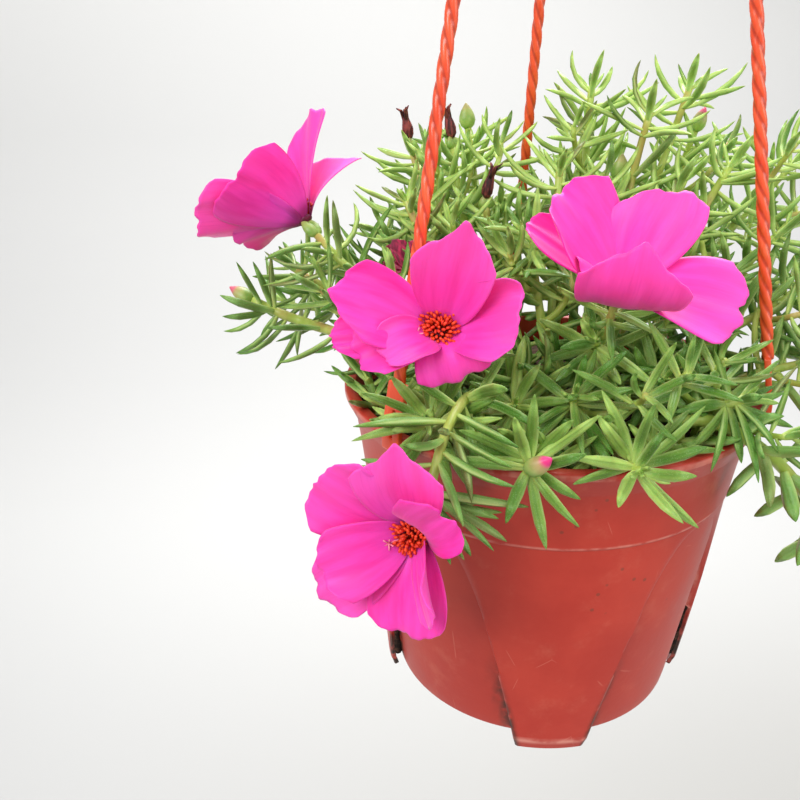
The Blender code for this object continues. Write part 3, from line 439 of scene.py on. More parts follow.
def bend_leg(turn):
    """One leg: a grid bent round the pot, then given its wall."""
    bm = bmesh.new()
    worn_and_lit = bm.verts.layers.float.new("wear_and_highlight")
    dirt_and_shade_layer = bm.verts.layers.float.new("dirt_and_shade")
    bmesh.ops.create_grid(bm, x_segments=LEG_COLUMNS, y_segments=LEG_ROWS, size=0.5)
    for vert in bm.verts:
        across = 2.0 * vert.co.x
        across = math.copysign(1.0 - (1.0 - abs(across)) ** 1.7, across)
        vert.co, inset, depth = leg_place(turn, across, 0.5 - vert.co.y)
        low = smooth(depth, 78 * MM, 106 * MM)
        # The legs' edges and the foot's bevel get a pale line: partly scuffing, partly a painted
        # highlight.
        on_edge = inset < 0.35 * MM and depth > 40 * MM
        on_foot = abs(depth - LEG_DEPTH + FOOT_BEVEL) < 1.1 * MM
        in_slot = smooth(depth, SLOT_TOP - 6 * MM, SLOT_TOP + 8 * MM)
        edge_wear_and_highlight = LEG_EDGE_WEAR_AND_HIGHLIGHT * (1.0 - 0.7 * in_slot)
        vert[worn_and_lit] = edge_wear_and_highlight if on_edge else FOOT_WEAR_AND_HIGHLIGHT * on_foot
        # Low on the legs by their edges: a dark mark of soil and painted shade in the slots.
        vert[dirt_and_shade_layer] = low * (1.0 - smooth(inset, 0.0, 2.6 * MM))
    bmesh.ops.recalc_face_normals(bm, faces=bm.faces)
    outward = Vector((math.sin(turn), -math.cos(turn), 0.0))
    if sum(face.normal.dot(outward) for face in bm.faces) < 0:
        bmesh.ops.reverse_faces(bm, faces=bm.faces)
    bmesh.ops.solidify(bm, geom=bm.faces[:], thickness=LEG_WALL)
    return to_mesh("leg", bm)


for k in range(LEGS):
    pot_form.from_mesh(bend_leg(2 * math.pi * k / LEGS))
pot = add_piece("flower_pot", pot_form, [terracotta], "terracotta_plastic", "pot")
pot.data.set_sharp_from_angle(angle=math.radians(50))
print("pot faces:", len(pot.data.polygons))

# %% [markdown]
# Potting soil fills the pot to just below its rim. Little of it shows between the stems, but what
# shows is dark and crumbly. Its top is a turned form again, with rings close enough to carry soft
# lumps, and some hundred crumbs lie on it. A crumb is a low ball squashed and turned at random, and
# a fixed seed makes them fall the same way each time.

# %% Potting soil
CRUMBS = 220
CRUMB_SEED = 7
CRUMB_REACH = 60 * MM
SOIL_SIDES = 96
SOIL_RINGS = 28


def make_soil_material():
    """Dark, matt and crumbly."""
    material, tree, shader = new_material("potting soil", Roughness=0.95, Specular_IOR_Level=0.2)
    place = object_place(tree)
    grains = noise(tree, place, 600.0, 8.0, 0.7)
    base = mixed(tree, between(tree, grains, 0.35, 0.68), screen(34, 25, 19), screen(92, 68, 50))
    cells = add_node(tree, "TexVoronoi", {"Vector": place, "Scale": 380.0})
    bits = between(tree, cells["Color"], 0.78, 0.8)
    base = laid_over(tree, base, screen(140, 112, 84), bits, 0.5)
    tree.links.new(base, shader.inputs["Base Color"])
    bump(tree, shader, maths(tree, "ADD", grains, cells["Distance"]), 0.9, 0.8 * MM)
    return material


def soil_height(x, y):
    """Height of the soil's top over a point."""
    share = min(1.0, math.hypot(x, y) / inner_radius(SOIL_DEPTH))
    lumps = math.sin(x / (3.1 * MM) + 1.0) * math.sin(y / (3.7 * MM) + 2.0)
    fades = 1.0 - share ** 6
    return -SOIL_DEPTH + SOIL_CROWN * (1.0 - share * share) + 0.8 * MM * lumps * fades


def fill_soil():
    """The soil's body, with a lumpy top."""
    edge = inner_radius(SOIL_DEPTH) - 0.1 * MM
    low = BODY_DEPTH - POT_WALL - 0.3 * MM
    profile = [(0.0, -low), (inner_radius(low) - 0.4 * MM, -low)]
    profile.append((inner_radius(COLLAR_DEPTH) - 0.3 * MM, -COLLAR_DEPTH))
    profile += [(edge * (1 - k / SOIL_RINGS), -SOIL_DEPTH) for k in range(SOIL_RINGS + 1)]
    bm = spun(profile, SOIL_SIDES)
    for vert in bm.verts:
        if vert.co.z > -SOIL_DEPTH - 0.1 * MM:
            vert.co.z = soil_height(vert.co.x, vert.co.y)
    return bm


def scatter_crumbs(bm, count):
    """Lays crumbs on the soil's top."""
    fall = random.Random(CRUMB_SEED)
    for _ in range(count):
        turn, out = fall.uniform(0, 2 * math.pi), math.sqrt(fall.random()) * CRUMB_REACH
        x, y = out * math.cos(turn), out * math.sin(turn)
        ball = bmesh.ops.create_icosphere(bm, subdivisions=1, radius=fall.uniform(0.5, 1.5) * MM)
        squash = (fall.uniform(0.7, 1.3), fall.uniform(0.7, 1.3), fall.uniform(0.5, 0.8))
        bmesh.ops.scale(bm, vec=squash, verts=ball["verts"])
        twist = Matrix.Rotation(fall.uniform(0, 6), 3, (fall.random(), 0.4, 0.6))
        bmesh.ops.rotate(bm, cent=(0, 0, 0), matrix=twist, verts=ball["verts"])
        bmesh.ops.translate(bm, vec=(x, y, soil_height(x, y) + 0.3 * MM), verts=ball["verts"])


potting_soil = make_soil_material()
soil_form = fill_soil()
scatter_crumbs(soil_form, CRUMBS)
add_piece("potting_soil", soil_form, [potting_soil], "potting_soil", "soil")
print("crumbs on the soil:", CRUMBS)

# %% [markdown]
# Portulaca grows fleshy stems, each with a ring of leaves at its tip. The plain model lays its
# stems and leaves by a rule: a leaf's turn round the stem grows by the golden angle, and seeded
# chance shifts it until it is clear of its neighbours. The same rule with the same seed is run
# again here, so that each fine leaf grows where its plain leaf does. The blooms come first. A
# petal's row holds its turn round the bloom in degrees, its length and width in millimetres, how
# far it stands up at its root and at its tip in degrees, and how deep it is cupped.

# %% Where the blooms stand
Petal = namedtuple(
    "Petal", "turn length width open_root open_tip cup fold_low fold_high notch twist skew",
    defaults=(0.1, 0, 0, 0.04, 0.12, 0.0),
)
BLOOMS = {
    "front": {
        "foot": (-26, -18), "centre": (-40, -53, 35), "face": (-0.1, -0.8, 0.6),
        "petals": [
            Petal(148, 31, 29, 48, 6, 0.10), Petal(84, 31, 27, 60, 36, 0.16),
            Petal(18, 30, 27, 44, 6, 0.2),
            Petal(-64, 19, 24, 40, -12, 0.10), Petal(-125, 21, 25, 42, -8, 0.16),
            Petal(190, 29, 22, 38, -4, 0.06),
        ],
    },
    "right": {
        "foot": (12, -12), "centre": (12, -38, 43), "face": (0.02, -0.52, 0.85),
        "petals": [
            Petal(134, 35, 33, 54, 24, 0.08), Petal(58, 35, 30, 52, 18, 0.08),
            Petal(-20, 37, 31, 24, -18, 0.10),
            Petal(-100, 21, 25, 60, 72, 0.22), Petal(-152, 27, 22, 44, 20, 0.14),
        ],
    },
    "back_left": {
        "foot": (-38, 10), "centre": (-82, 12, 51), "face": (-0.58, 0.55, 0.6),
        "petals": [
            Petal(196, 33, 31, 40, 12, 0.12), Petal(135, 32, 31, 48, 18, 0.12),
            Petal(58, 33, 24, 50, 30, 0.2),
            Petal(-20, 30, 26, 50, 26, 0.12), Petal(-92, 31, 29, 40, 10, 0.12),
        ],
    },
    "low_left": {
        "foot": (-27, -47), "centre": (-46, -77, -13), "face": (-0.42, -0.88, 0.06),
        "over": (36, (-43, -79, 18)),
        "petals": [
            Petal(88, 30, 27, 50, 18, 0.16), Petal(152, 33, 29, 38, 4, 0.10),
            Petal(215, 33, 29, 36, 2, 0.12),
            Petal(282, 33, 28, 38, 6, 0.10), Petal(15, 26, 28, 62, 48, 0.18),
        ],
    },
}
PLAIN_NOTCH = 0.09
BEND_STEPS = 12
PETAL_ROOT = (1.7, 0.8)


def bloom_frame(bloom):
    """The matrix from a bloom's own space, with its face along +Z, to the pot's space."""
    face = Vector(bloom["face"]).normalized()
    aside = Vector((0, 0, 1)).cross(face).normalized()
    rise = face.cross(aside)
    turn = Matrix((aside, rise, face)).transposed().to_4x4()
    return Matrix.Translation(Vector(bloom["centre"]) * MM) @ turn


def petal_spread(reach):
    """How wide a petal is at a share of its length, from its narrow root to its round tip."""
    rise = (1.0 - max(0.0, 1.0 - reach) ** 2.2) ** 0.8
    return 0.12 + 0.88 * rise * (1.0 - 0.22 * reach ** 6)


def petal_place(petal, reach, across, side, lift):
    """The place on a bloom of a spot that lies aside of a petal's middle line and above it."""
    lift += 0.6 * reach * reach * math.sin(7.0 * across + petal.turn)
    distance, height = PETAL_ROOT
    bend = petal.open_tip - petal.open_root
    for k in range(BEND_STEPS):
        opening = math.radians(petal.open_root + bend * reach * (k + 0.5) / BEND_STEPS)
        distance += math.cos(opening) * petal.length * reach / BEND_STEPS
        height += math.sin(opening) * petal.length * reach / BEND_STEPS
    opening = math.radians(petal.open_root + bend * reach)
    distance -= lift * math.sin(opening)
    height += lift * math.cos(opening)
    angle = math.radians(petal.turn)
    return Vector((
        (distance * math.cos(angle) - side * math.sin(angle)) * MM,
        (distance * math.sin(angle) + side * math.cos(angle)) * MM,
        height * MM,
    ))


def petal_point(petal, along, across):
    """A point of a plain petal's middle surface in its bloom's space."""
    notch = PLAIN_NOTCH * math.exp(-((across / 0.2) ** 2))
    reach = along * (1.0 - 0.17 * abs(across) ** 2.5 - notch)
    spread = petal_spread(reach)
    side = across * petal.width / 2 * spread
    lift = petal.cup * petal.width * across * across * spread + 0.16 * side * reach
    return petal_place(petal, reach, across, side, lift)


print("petals on the plant:", sum(len(bloom["petals"]) for bloom in BLOOMS.values()))

# %% Where the strands of the hanger run
STRANDS_MEET = 389.0 * MM
STRAND_RADIUS = 1.95 * MM
STRAND_TOP = 370.5 * MM
STRAND_LINE_RADIUS = 71.4 * MM
STRAND_TURNS = {"left": -48.6, "back": 183.7, "right": 69.9}
CLIP_WIDTH = 7.4 * MM


def at_rim(turn_degrees, radius, height):
    """A point at a turn round the pot, counted from -Y towards +X."""
    turn = math.radians(turn_degrees)
    return Vector((radius * math.sin(turn), -radius * math.cos(turn), height))


def strand_point(turn_degrees, height):
    """A point on the straight line of a strand, from the rim to where the strands meet."""
    radius = STRAND_LINE_RADIUS * (1.0 - height / STRANDS_MEET)
    return at_rim(turn_degrees, radius, height)


print("strands:", ", ".join(STRAND_TURNS))

# %% Keep the plant's pieces apart
GAP = 0.35 * MM


def outer_radius(depth):
    """Outer radius of the pot at a depth below the rim, for keeping leaves off it."""
    if depth < LIP_DEPTH:
        return RIM_RADIUS
    if depth < COLLAR_DEPTH:
        return LIP_FOOT_RADIUS
    return leg_radius(depth)


def room_by_pot(point):
    """How far a point of the plant is from the pot and the soil."""
    across = math.hypot(point[0], point[1])
    depth = -point[2]
    if depth < 0:
        aside = max(RIM_INNER_RADIUS - across, across - RIM_RADIUS, 0.0)
        return math.hypot(aside, depth)
    if across > RIM_INNER_RADIUS:
        return across - outer_radius(depth)
    above_soil = point[2] - soil_height(point[0], point[1])
    return min(inner_radius(depth) - across, above_soil)


class Room:
    """Balls along every piece that is placed, so that pieces of different nodes stay apart."""

    def __init__(self):
        self.balls = np.empty((0, 4))
        self.owners = np.empty(0, dtype=int)

    def add(self, owner, points, radius):
        rows = np.array([[*point, radius] for point in points])
        self.balls = np.vstack([self.balls, rows])
        self.owners = np.append(self.owners, [owner] * len(rows))

    def least(self, owner, points, radius):
        """The smallest gap from these balls to the pot and to the nearby pieces of other owners."""
        gap = min(room_by_pot(point) for point in points) - radius
        spots = np.array([tuple(point) for point in points])
        reach = np.ptp(spots, axis=0).max() / 2 + 12 * MM
        middle = (spots.max(axis=0) + spots.min(axis=0)) / 2
        near = (np.abs(self.balls[:, :3] - middle) < reach).all(axis=1)
        others = self.balls[near & (self.owners != owner)]
        if len(others):
            spans = spots[:, None, :] - others[None, :, :3]
            gap = min(gap, float((np.sqrt((spans ** 2).sum(2)) - others[:, 3]).min()) - radius)
        return gap


print("pieces of the plant stay", GAP / MM, "mm apart")

# %% Where the stems stand
STEMS = {
    "star": ((6, -24), (7, -37, 27), (-0.15, -0.8, 0.58), "crown"),
    "front_low": ((-13, -35), (-18, -50, 12), (-0.2, -0.8, 0.56), "crown"),
    "rim_whorl": ((-10, -50), (-17, -75, 4), (-0.2, -0.9, 0.4), "bud"),
    "rim_rosette": ((14, -48), (13, -75, 4), (0.0, -0.85, 0.52), "crown"),
    "left_rim": ((-36, -36), (-44, -57, 10), (-0.5, -0.65, 0.55), "crown"),
    "front_right": ((25, -26), (28, -38, 15), (0.25, -0.75, 0.6), "crown"),
    "left_trailing": ((-52, -2), (-103, 18, 22), (-0.85, 0.2, 0.45), "bud"),
    "front_mid": ((3, -38), (-2, -55, 17), (0.0, -0.7, 0.7), "crown"),
    "right_front": ((36, -34), (48, -50, 14), (0.5, -0.5, 0.6), "crown"),
    "centre_right": ((27, -8), (38, -16, 34), (0.25, -0.5, 0.8), "crown"),
    "right_trailing": ((28, -46), (90, -32, -48), (0.55, 0.85, -1.2), "crown", 25, (70, -62, -2)),
    "right_rising": ((38, -14), (84, 2, 33), (0.75, 0.1, 0.6), "crown"),
    "right_low": ((50, -22), (90, -10, 12), (0.85, 0.1, 0.3), "crown"),
    "back_high": ((12, 24), (19, 60, 89), (0.05, 0.2, 0.97), "crown"),
    "back_mid": ((-10, 34), (-25, 70, 74), (-0.1, 0.15, 0.97), "bud"),
    "back_right": ((30, 32), (54, 57, 90), (0.3, 0.2, 0.92), "crown"),
    "mid_right": ((22, 12), (35, 36, 84), (0.2, 0.0, 0.97), "crown"),
    "right_high": ((42, 12), (62, 70, 73), (0.3, 0.05, 0.9), "bud"),
    "middle": ((1, 4), (2, 17, 67), (0.0, -0.2, 0.97), "crown"),
    "middle_bud": ((14, 14), (27, 39, 60), (0.05, -0.1, 0.97), "bud"),
    "dry_left": ((-24, 26), (-47, 55, 70), (-0.2, 0.0, 0.97), "dry"),
    "dry_middle": ((-18, 14), (-32, 50, 71), (-0.1, 0.1, 0.97), "dry"),
    "dry_right": ((-8, -4), (-21, 27, 54), (0.0, -0.1, 0.99), "dry"),
    "left_high": ((-30, 2), (-49, 14, 58), (-0.35, -0.2, 0.9), "crown"),
    "left_mid": ((-48, 12), (-68, 6, 37), (-0.6, -0.35, 0.7), "crown"),
    "right_mid": ((50, 0), (82, 20, 48), (0.7, 0.0, 0.7), "crown"),
    "right_back": ((46, 28), (92, 48, 64), (0.65, 0.2, 0.7), "crown"),
    "centre_low": ((-2, -14), (-9, -6, 50), (-0.1, -0.5, 0.86), "crown"),
    "wilted": ((-34, -14), (-45, -2, 33), (-0.1, -0.2, 0.97), "wilted"),
}
BACK_STEMS = 6
SEED = 47
STEM_RADIUS = 1.35 * MM
STEM_FOOT_DEPTH = 16.5 * MM
STEM_STEPS = 6
STEM_CLEAR = 6.5 * MM
STEM_TRIES = 60
STEM_PLAY = 0.12
STEM_RISE = 0.35
STEM_PULL = 0.4
CALYX_LENGTH = 7.0 * MM
Stem = namedtuple("Stem", "foot route way ending")


def back_stems():
    """Stems behind the middle, spread evenly round the back by a rule with seeded play."""
    play = random.Random(SEED)
    found = {}
    for k in range(BACK_STEMS):
        low = k % 2
        turn = math.radians(100 + 160 * (k + 0.5) / BACK_STEMS + play.uniform(-6, 6))
        inner = 34 + 20 * low + play.uniform(-3, 3)
        reach = 66 + 30 * low + play.uniform(-6, 6)
        height = 70 - 42 * low + play.uniform(-8, 8)
        lean = 0.45 + 0.4 * low
        out = (math.sin(turn), -math.cos(turn))
        found["back_%d" % (k + 1)] = (
            (inner * out[0], inner * out[1]), (reach * out[0], reach * out[1], height),
            (lean * out[0], lean * out[1], 1.0 - lean * 0.6), "crown",
        )
    return found


def bloom_stems():
    """The stem of each bloom comes to it from behind."""
    found = {}
    for name, bloom in BLOOMS.items():
        found["bloom_" + name] = (
            bloom["foot"], bloom["centre"], bloom["face"], "bloom", *bloom.get("over", ()),
        )
    return found


def bezier(corners, share):
    """A point of the cubic curve that four points steer."""
    a, b, c, d = corners
    rest = 1.0 - share
    return (
        a * rest ** 3 + b * (3 * rest * rest * share)
        + c * (3 * rest * share * share) + d * share ** 3
    )


def plan_stem(foot, tip, way, ending, rise=None, bend=None):
    """Works out a stem's route: straight up out of the soil, then one curve to its tip."""
    way = Vector(way).normalized()
    tip = Vector(tip) * MM
    if ending == "bloom":
        tip = tip - way * (CALYX_LENGTH - 1.0 * MM)
    low = Vector((foot[0] * MM, foot[1] * MM, -STEM_FOOT_DEPTH))
    base = Vector((low.x, low.y, -SOIL_DEPTH + STEM_CLEAR))
    span = (tip - base).length
    rise = span * STEM_RISE if rise is None else rise * MM
    bend = tip - way * span * STEM_PULL if bend is None else Vector(bend) * MM
    corners = (base, base + Vector((0, 0, rise)), bend, tip)
    route = [low] + [bezier(corners, k / STEM_STEPS) for k in range(STEM_STEPS + 1)]
    if ending != "bloom":
        way = (tip - bend).normalized()
    return Stem(low, route, way, ending)


def frame_at(route, share):
    """The point and the way of a stem at a share of its route above the soil."""
    place = 1 + share * (len(route) - 2)
    before = min(int(place), len(route) - 2)
    step = route[before + 1] - route[before]
    return route[before] + step * (place - before), step.normalized()


def back_along(route, distance):
    """The point at a distance back from a stem's tip, and the stem's way there."""
    for after, before in zip(route[::-1], route[-2::-1]):
        step = after - before
        if distance <= step.length:
            break
        distance -= step.length
    return after - step.normalized() * distance, step.normalized()


print("stems:", len(STEMS) + BACK_STEMS + len(BLOOMS))

# %% Where the leaves stand
CROWN_LEAVES = {"crown": 8, "bud": 7, "bloom": 6, "dry": 5, "wilted": 5}
CROWN_SPACING = 1.1 * MM
STEM_LEAF_FROM = 0.42
MOST_STEM_LEAVES = 5
STEM_LEAF_SPACING = 8.5
LEAF_TRIES = 14
LEAF_BALLS = 5
LEAF_WIDTH = 3.5 * MM
LEAF_THICKNESS = 1.7 * MM
GOLDEN_TURN = math.radians(137.508)
Leaf = namedtuple("Leaf", "root axis out length width lean_root lean_tip")


def leaf_line(leaf, steps):
    """Points along a leaf, whose lean from its stem changes evenly from root to tip."""
    point = Vector(leaf.root)
    points = [point.copy()]
    for k in range(steps):
        lean = leaf.lean_root + (leaf.lean_tip - leaf.lean_root) * (k + 0.5) / steps
        way = leaf.axis * math.cos(lean) + leaf.out * math.sin(lean)
        point = point + way * (leaf.length / steps)
        points.append(point.copy())
    return points


def crown_leaf(stem, k, count, play):
    """A leaf of the ring round a stem's tip: the later ones stand closer in and are shorter."""
    inner = k / count
    back = (count - k) * CROWN_SPACING
    if stem.ending == "crown":
        lean, length = 84 - 50 * inner, 19.5 - 8.0 * inner
    else:
        back += 2.5 * MM
        lean, length = 76 - 14 * inner, 17.0 - 2.0 * inner
    root, way = back_along(stem.route, back)
    return root, way, lean + play.uniform(-7, 7), length + play.uniform(-1.5, 1.5)


def stem_leaf(stem, k, count, play):
    """A leaf along a stem, below the ring at its tip."""
    share = STEM_LEAF_FROM + (0.9 - STEM_LEAF_FROM) * (k + 0.5) / count + play.uniform(-0.03, 0.03)
    root, way = frame_at(stem.route, share)
    return root, way, 62 + play.uniform(-9, 9), 17.0 + play.uniform(-2.5, 2.5)


def leaf_balls(leaf):
    """The balls that stand for a leaf when room is looked for, and their radius."""
    points = leaf_line(leaf, LEAF_BALLS)
    return points[1:], leaf.width / 2


def place_leaves(owner, stem, room, play):
    """The leaves of a stem, each turned or shortened until it is clear of other nodes."""
    crown = CROWN_LEAVES[stem.ending]
    length = sum((b - a).length for a, b in zip(stem.route[1:], stem.route[2:]))
    along = min(MOST_STEM_LEAVES, int((length / MM - 14) / STEM_LEAF_SPACING))
    wanted = [crown_leaf(stem, k, crown, play) for k in range(crown)]
    wanted += [stem_leaf(stem, k, along, play) for k in range(along)]
    leaves = []
    start = play.uniform(0, 2 * math.pi)
    for k, (root, way, lean, size) in enumerate(wanted):
        side = way.orthogonal().normalized()
        for attempt in range(LEAF_TRIES):
            turn = start + k * GOLDEN_TURN + play.uniform(-0.09, 0.09) * attempt
            out = Matrix.Rotation(turn, 3, way) @ side
            tilt = math.radians(lean + play.uniform(-2.0, 1.0) * attempt)
            long = size * (1.0 - 0.03 * attempt) * MM
            leaf = Leaf(root, way, out, long, LEAF_WIDTH, tilt, tilt + math.radians(10))
            balls, radius = leaf_balls(leaf)
            if room.least(owner, balls, radius) > GAP:
                room.add(owner, balls, radius)
                leaves.append(leaf)
                break
    return leaves


print("golden turn:", round(math.degrees(GOLDEN_TURN), 1), "degrees")

# %% Lay out the stems and their leaves
CLIP_ROOM = 1.6 * MM
PETAL_ROOM = 1.3 * MM
TUFT_ROOM = 3.2 * MM


def keep_room(room):
    """Marks the space that the hanger, the blooms and the withered flowers take."""
    for owner, turn in STRAND_TURNS.items():
        line = [strand_point(turn, height * 3 * MM) for height in range(-2, 50)]
        room.add(owner, line, STRAND_RADIUS)
        edge = CLIP_WIDTH / 2
        for side in (-edge, 0.0, edge):
            middle = at_rim(turn, RIM_RADIUS + 1.2 * MM, 0.0) + side * at_rim(turn + 90, 1.0, 0.0)
            line = [middle + Vector((0, 0, k * 2 * MM)) for k in range(-3, 10)]
            room.add(owner, line, CLIP_ROOM)
    for name, bloom in BLOOMS.items():
        place = bloom_frame(bloom)
        for petal in bloom["petals"]:
            spots = [(u / 8, v / 5) for u in range(9) for v in range(-5, 6)]
            points = [place @ petal_point(petal, u, v) for u, v in spots]
            room.add("petals " + name, points, PETAL_ROOM)
        tuft = [place @ Vector((0, 0, height * MM)) for height in range(2, 9, 2)]
        room.add("petals " + name, tuft, TUFT_ROOM)


def ending_balls(stem):
    """The balls that stand for what a stem ends in, and their radius."""
    if stem.ending in ("crown", "bloom"):
        return [stem.route[-1]], STEM_RADIUS
    reach, radius = (12, 6.5) if stem.ending == "wilted" else (14, 3.0)
    points = [stem.route[-1] + stem.way * k * MM for k in range(0, reach, 2)]
    return points, radius * MM


def settle_stem(name, values, room, play):
    """Plans a stem, shifting its foot and its tip a little until it is clear of other nodes."""
    foot, tip, way, ending, *over = values
    loose = 0.0 if ending == "bloom" else 1.0
    last = 0.8 if ending == "bloom" else 1.0
    for attempt in range(STEM_TRIES):
        reach = STEM_PLAY * attempt
        a, b, c, d = (play.uniform(-reach, reach) for _ in range(4))
        moved_tip = (tip[0] + c * loose, tip[1] + d * loose, tip[2])
        stem = plan_stem((foot[0] + a, foot[1] + b), moved_tip, way, ending, *over)
        line = [frame_at(stem.route, 0.06 + (last - 0.06) * k / 30)[0] for k in range(31)]
        ending_points, ending_radius = ending_balls(stem)
        gaps = [room.least(name, line, STEM_RADIUS)]
        if ending != "bloom":
            gaps.append(room.least(name, ending_points, ending_radius))
        if min(gaps) > GAP:
            break
    room.add(name, [frame_at(stem.route, k / 30)[0] for k in range(31)], STEM_RADIUS)
    room.add(name, ending_points, ending_radius)
    return stem


room = Room()
keep_room(room)
play = random.Random(SEED)
table = {**bloom_stems(), **STEMS, **back_stems()}
stems = {name: settle_stem(name, values, room, play) for name, values in table.items()}
leaves = {name: place_leaves(name, stem, room, play) for name, stem in stems.items()}
print("leaves that the model has:", sum(len(found) for found in leaves.values()))

# %% [markdown]
# No two petals of a real bloom are alike. In the photograph some stand up, some roll outwards, some
# have a folded edge or a pointed corner. So each fine petal has its own row of values, close to
# those of a plain petal, and its row goes on: how far its two edges fold up, how deep its notch is
# or, below zero, how high its peak, how it twists, and which corner is longer.

# %% The fine petals
FINE_PETALS = {
    "front": [
        Petal(172, 31, 25, 50, 22, 0.10, notch=-0.08, twist=0.16, skew=-0.05),
        Petal(70, 31, 25, 66, 48, 0.14, fold_high=30, notch=-0.16, twist=0.16, skew=-0.04),
        Petal(2, 27, 26, 50, 28, 0.14, fold_high=95, twist=0.16, skew=0.10),
        Petal(-68, 19, 22, 86, -78, 0.05, notch=0.03, twist=0.06),
        Petal(-154, 26, 20, 56, -8, 0.14),
        Petal(191, 30, 15, 36, 0, 0.06, notch=0.02),
        Petal(-141, 22, 18, 74, 0, 0.16, fold_high=40, notch=0.02),
    ],
    "right": [
        Petal(138, 33, 36, 54, 30, 0.08, fold_high=25, notch=0.03, twist=0.16),
        Petal(55, 30, 28, 50, 26, 0.04, notch=0.0, twist=0.16, skew=-0.2),
        Petal(-22, 34, 31, 24, -14, 0.08, notch=0.06, twist=0.16),
        Petal(-101, 35, 33, 8, 122, 0.04, fold_high=-40, notch=-0.14, skew=-0.05),
        Petal(-160, 20, 22, 50, 40, 0.14, notch=0.05),
        Petal(152, 32, 18, 26, 20, 0.10, notch=0.03, twist=0.16),
    ],
    "back_left": [
        Petal(172, 31, 28, 56, 36, 0.06, twist=1.4),
        Petal(154, 42, 21, 62, 54, 0.06, notch=-0.08, twist=0.9, skew=-0.1),
        Petal(21, 30, 34, 40, 22, 0.10, notch=0.08, twist=0.16, skew=-0.04),
        Petal(-18, 36, 30, 40, 16, 0.12, notch=0.05, twist=0.16),
        Petal(-60, 25, 22, 40, 10, 0.12, notch=0.05, twist=0.16),
    ],
    "low_left": [
        Petal(94, 27, 27, 46, 4, 0.10, notch=-0.18, twist=0.16),
        Petal(146, 31, 27, 40, 14, 0.08, notch=0.03),
        Petal(204, 28, 23, 52, 30, 0.12, notch=0.03, twist=0.16),
        Petal(277, 28, 27, 40, 8, 0.08, fold_low=50, twist=0.16),
        Petal(48, 27, 22, 70, 4, 0.10, notch=0.08, twist=0.3),
        Petal(221, 33, 22, 36, 4, 0.08, notch=0.0),
        Petal(-36, 30, 14, 68, 40, 0.10, notch=0.0, twist=0.8),
    ],
}
NOTCH_WIDTH = 0.17
PEAK_WIDTH = 0.3


def petal_side(petal, across, half, reach):
    """Walks from a petal's middle line to its edge: how far aside, and how far up, it gets."""
    fold = math.radians(petal.fold_high if across > 0 else petal.fold_low)
    side = lift = 0.0
    step = half * abs(across) / BEND_STEPS
    for k in range(BEND_STEPS):
        out = abs(across) * (k + 0.5) / BEND_STEPS
        folded = fold * smooth(out, 0.35) * smooth(reach, 0.2, 0.85)
        heading = math.atan(4 * petal.cup * out) + folded
        side += math.cos(heading) * step
        lift += math.sin(heading) * step
    return math.copysign(side, across), lift


def petal_length(petal, across):
    """A petal's length at a place across it, as a share: notched or peaked, and finely toothed."""
    width = NOTCH_WIDTH if petal.notch > 0 else PEAK_WIDTH
    notch = petal.notch * math.exp(-((across / width) ** 2))
    teeth = 0.013 * math.sin(9.0 * across + petal.turn)
    teeth += 0.007 * math.sin(23.0 * across - petal.turn)
    return 0.98 - 0.2 * abs(across) ** 2.6 - notch + petal.skew * across + teeth


def fine_petal_point(petal, along, across):
    """A point of a fine petal's middle surface in its bloom's space."""
    reach = along * petal_length(petal, across)
    half = petal.width / 2 * petal_spread(reach)
    side, lift = petal_side(petal, across, half, reach)
    return petal_place(petal, reach, across, side, lift + petal.twist * side * reach)


print("fine petals:", sum(len(petals) for petals in FINE_PETALS.values()))

# %% Keep leaves off the fine petals
PETAL_CLEAR = 2.2 * MM
FINE_PETAL_ROOM = 1.2 * MM


def petal_spots():
    """Points spread over all fine petals."""
    spots = []
    for name, petals in FINE_PETALS.items():
        place = bloom_frame(BLOOMS[name])
        for petal in petals:
            for u in range(2, 13):
                spots += [place @ fine_petal_point(petal, u / 12, v / 6) for v in range(-6, 7)]
    return np.array([tuple(spot) for spot in spots])


PETAL_SPOTS = petal_spots()
room.add("fine petals", PETAL_SPOTS, FINE_PETAL_ROOM)


def clear_of_petals(leaf):
    """Whether a leaf's outer part keeps off the fine petals."""
    points = np.array([tuple(point) for point in leaf_line(leaf, LEAF_BALLS)[2:]])
    spans = points[:, None, :] - PETAL_SPOTS[None, :, :]
    return (spans ** 2).sum(2).min() > PETAL_CLEAR ** 2


print("spots on the petals:", len(PETAL_SPOTS))

# %% [markdown]
# The real plant is denser than its plain model. Two things fill it up: more leaves on the same
# stems, close under each tip, and short side shoots with small crowns of their own. Both use the
# same look for room as before, but may come nearer to each other, as real leaves do. They have
# their own seed, so the plain model's leaves don't move.

# %% Find room for more leaves
growth = random.Random(SEED + 1)
TOUCH = -0.5 * MM
SLENDER = 0.78
RING_FILL = 6
OPEN_ROSETTES = ("star", "front_low", "rim_whorl", "rim_rosette", "left_rim", "front_right")
FRONT = OPEN_ROSETTES + (
    "right_front", "centre_right", "front_mid", "right_low", "centre_low", "bloom_low_left",
)
TRAILING = ("left_trailing", "right_trailing")
OVER_LEFT_RIM = ("left_rim", "bloom_low_left")
BROADER = {"right_trailing": 1.3}
CROWDED, FULL, SPARSE = 0.34, 0.17, 0.11
LEAF_SHIFTS = 5
SQUEEZE = 0.8
Spans = namedtuple("Spans", "lean length width curl")
RING_LEAVES = Spans((62, 100), (19, 26), (2.8, 3.6), (-36, 24))
BROAD_LEAVES = Spans((60, 94), (19, 28), (2.8, 3.7), (-34, 26))
SLENDER_LEAVES = Spans((60, 94), (19, 28), (2.3, 3.0), (-14, 66))


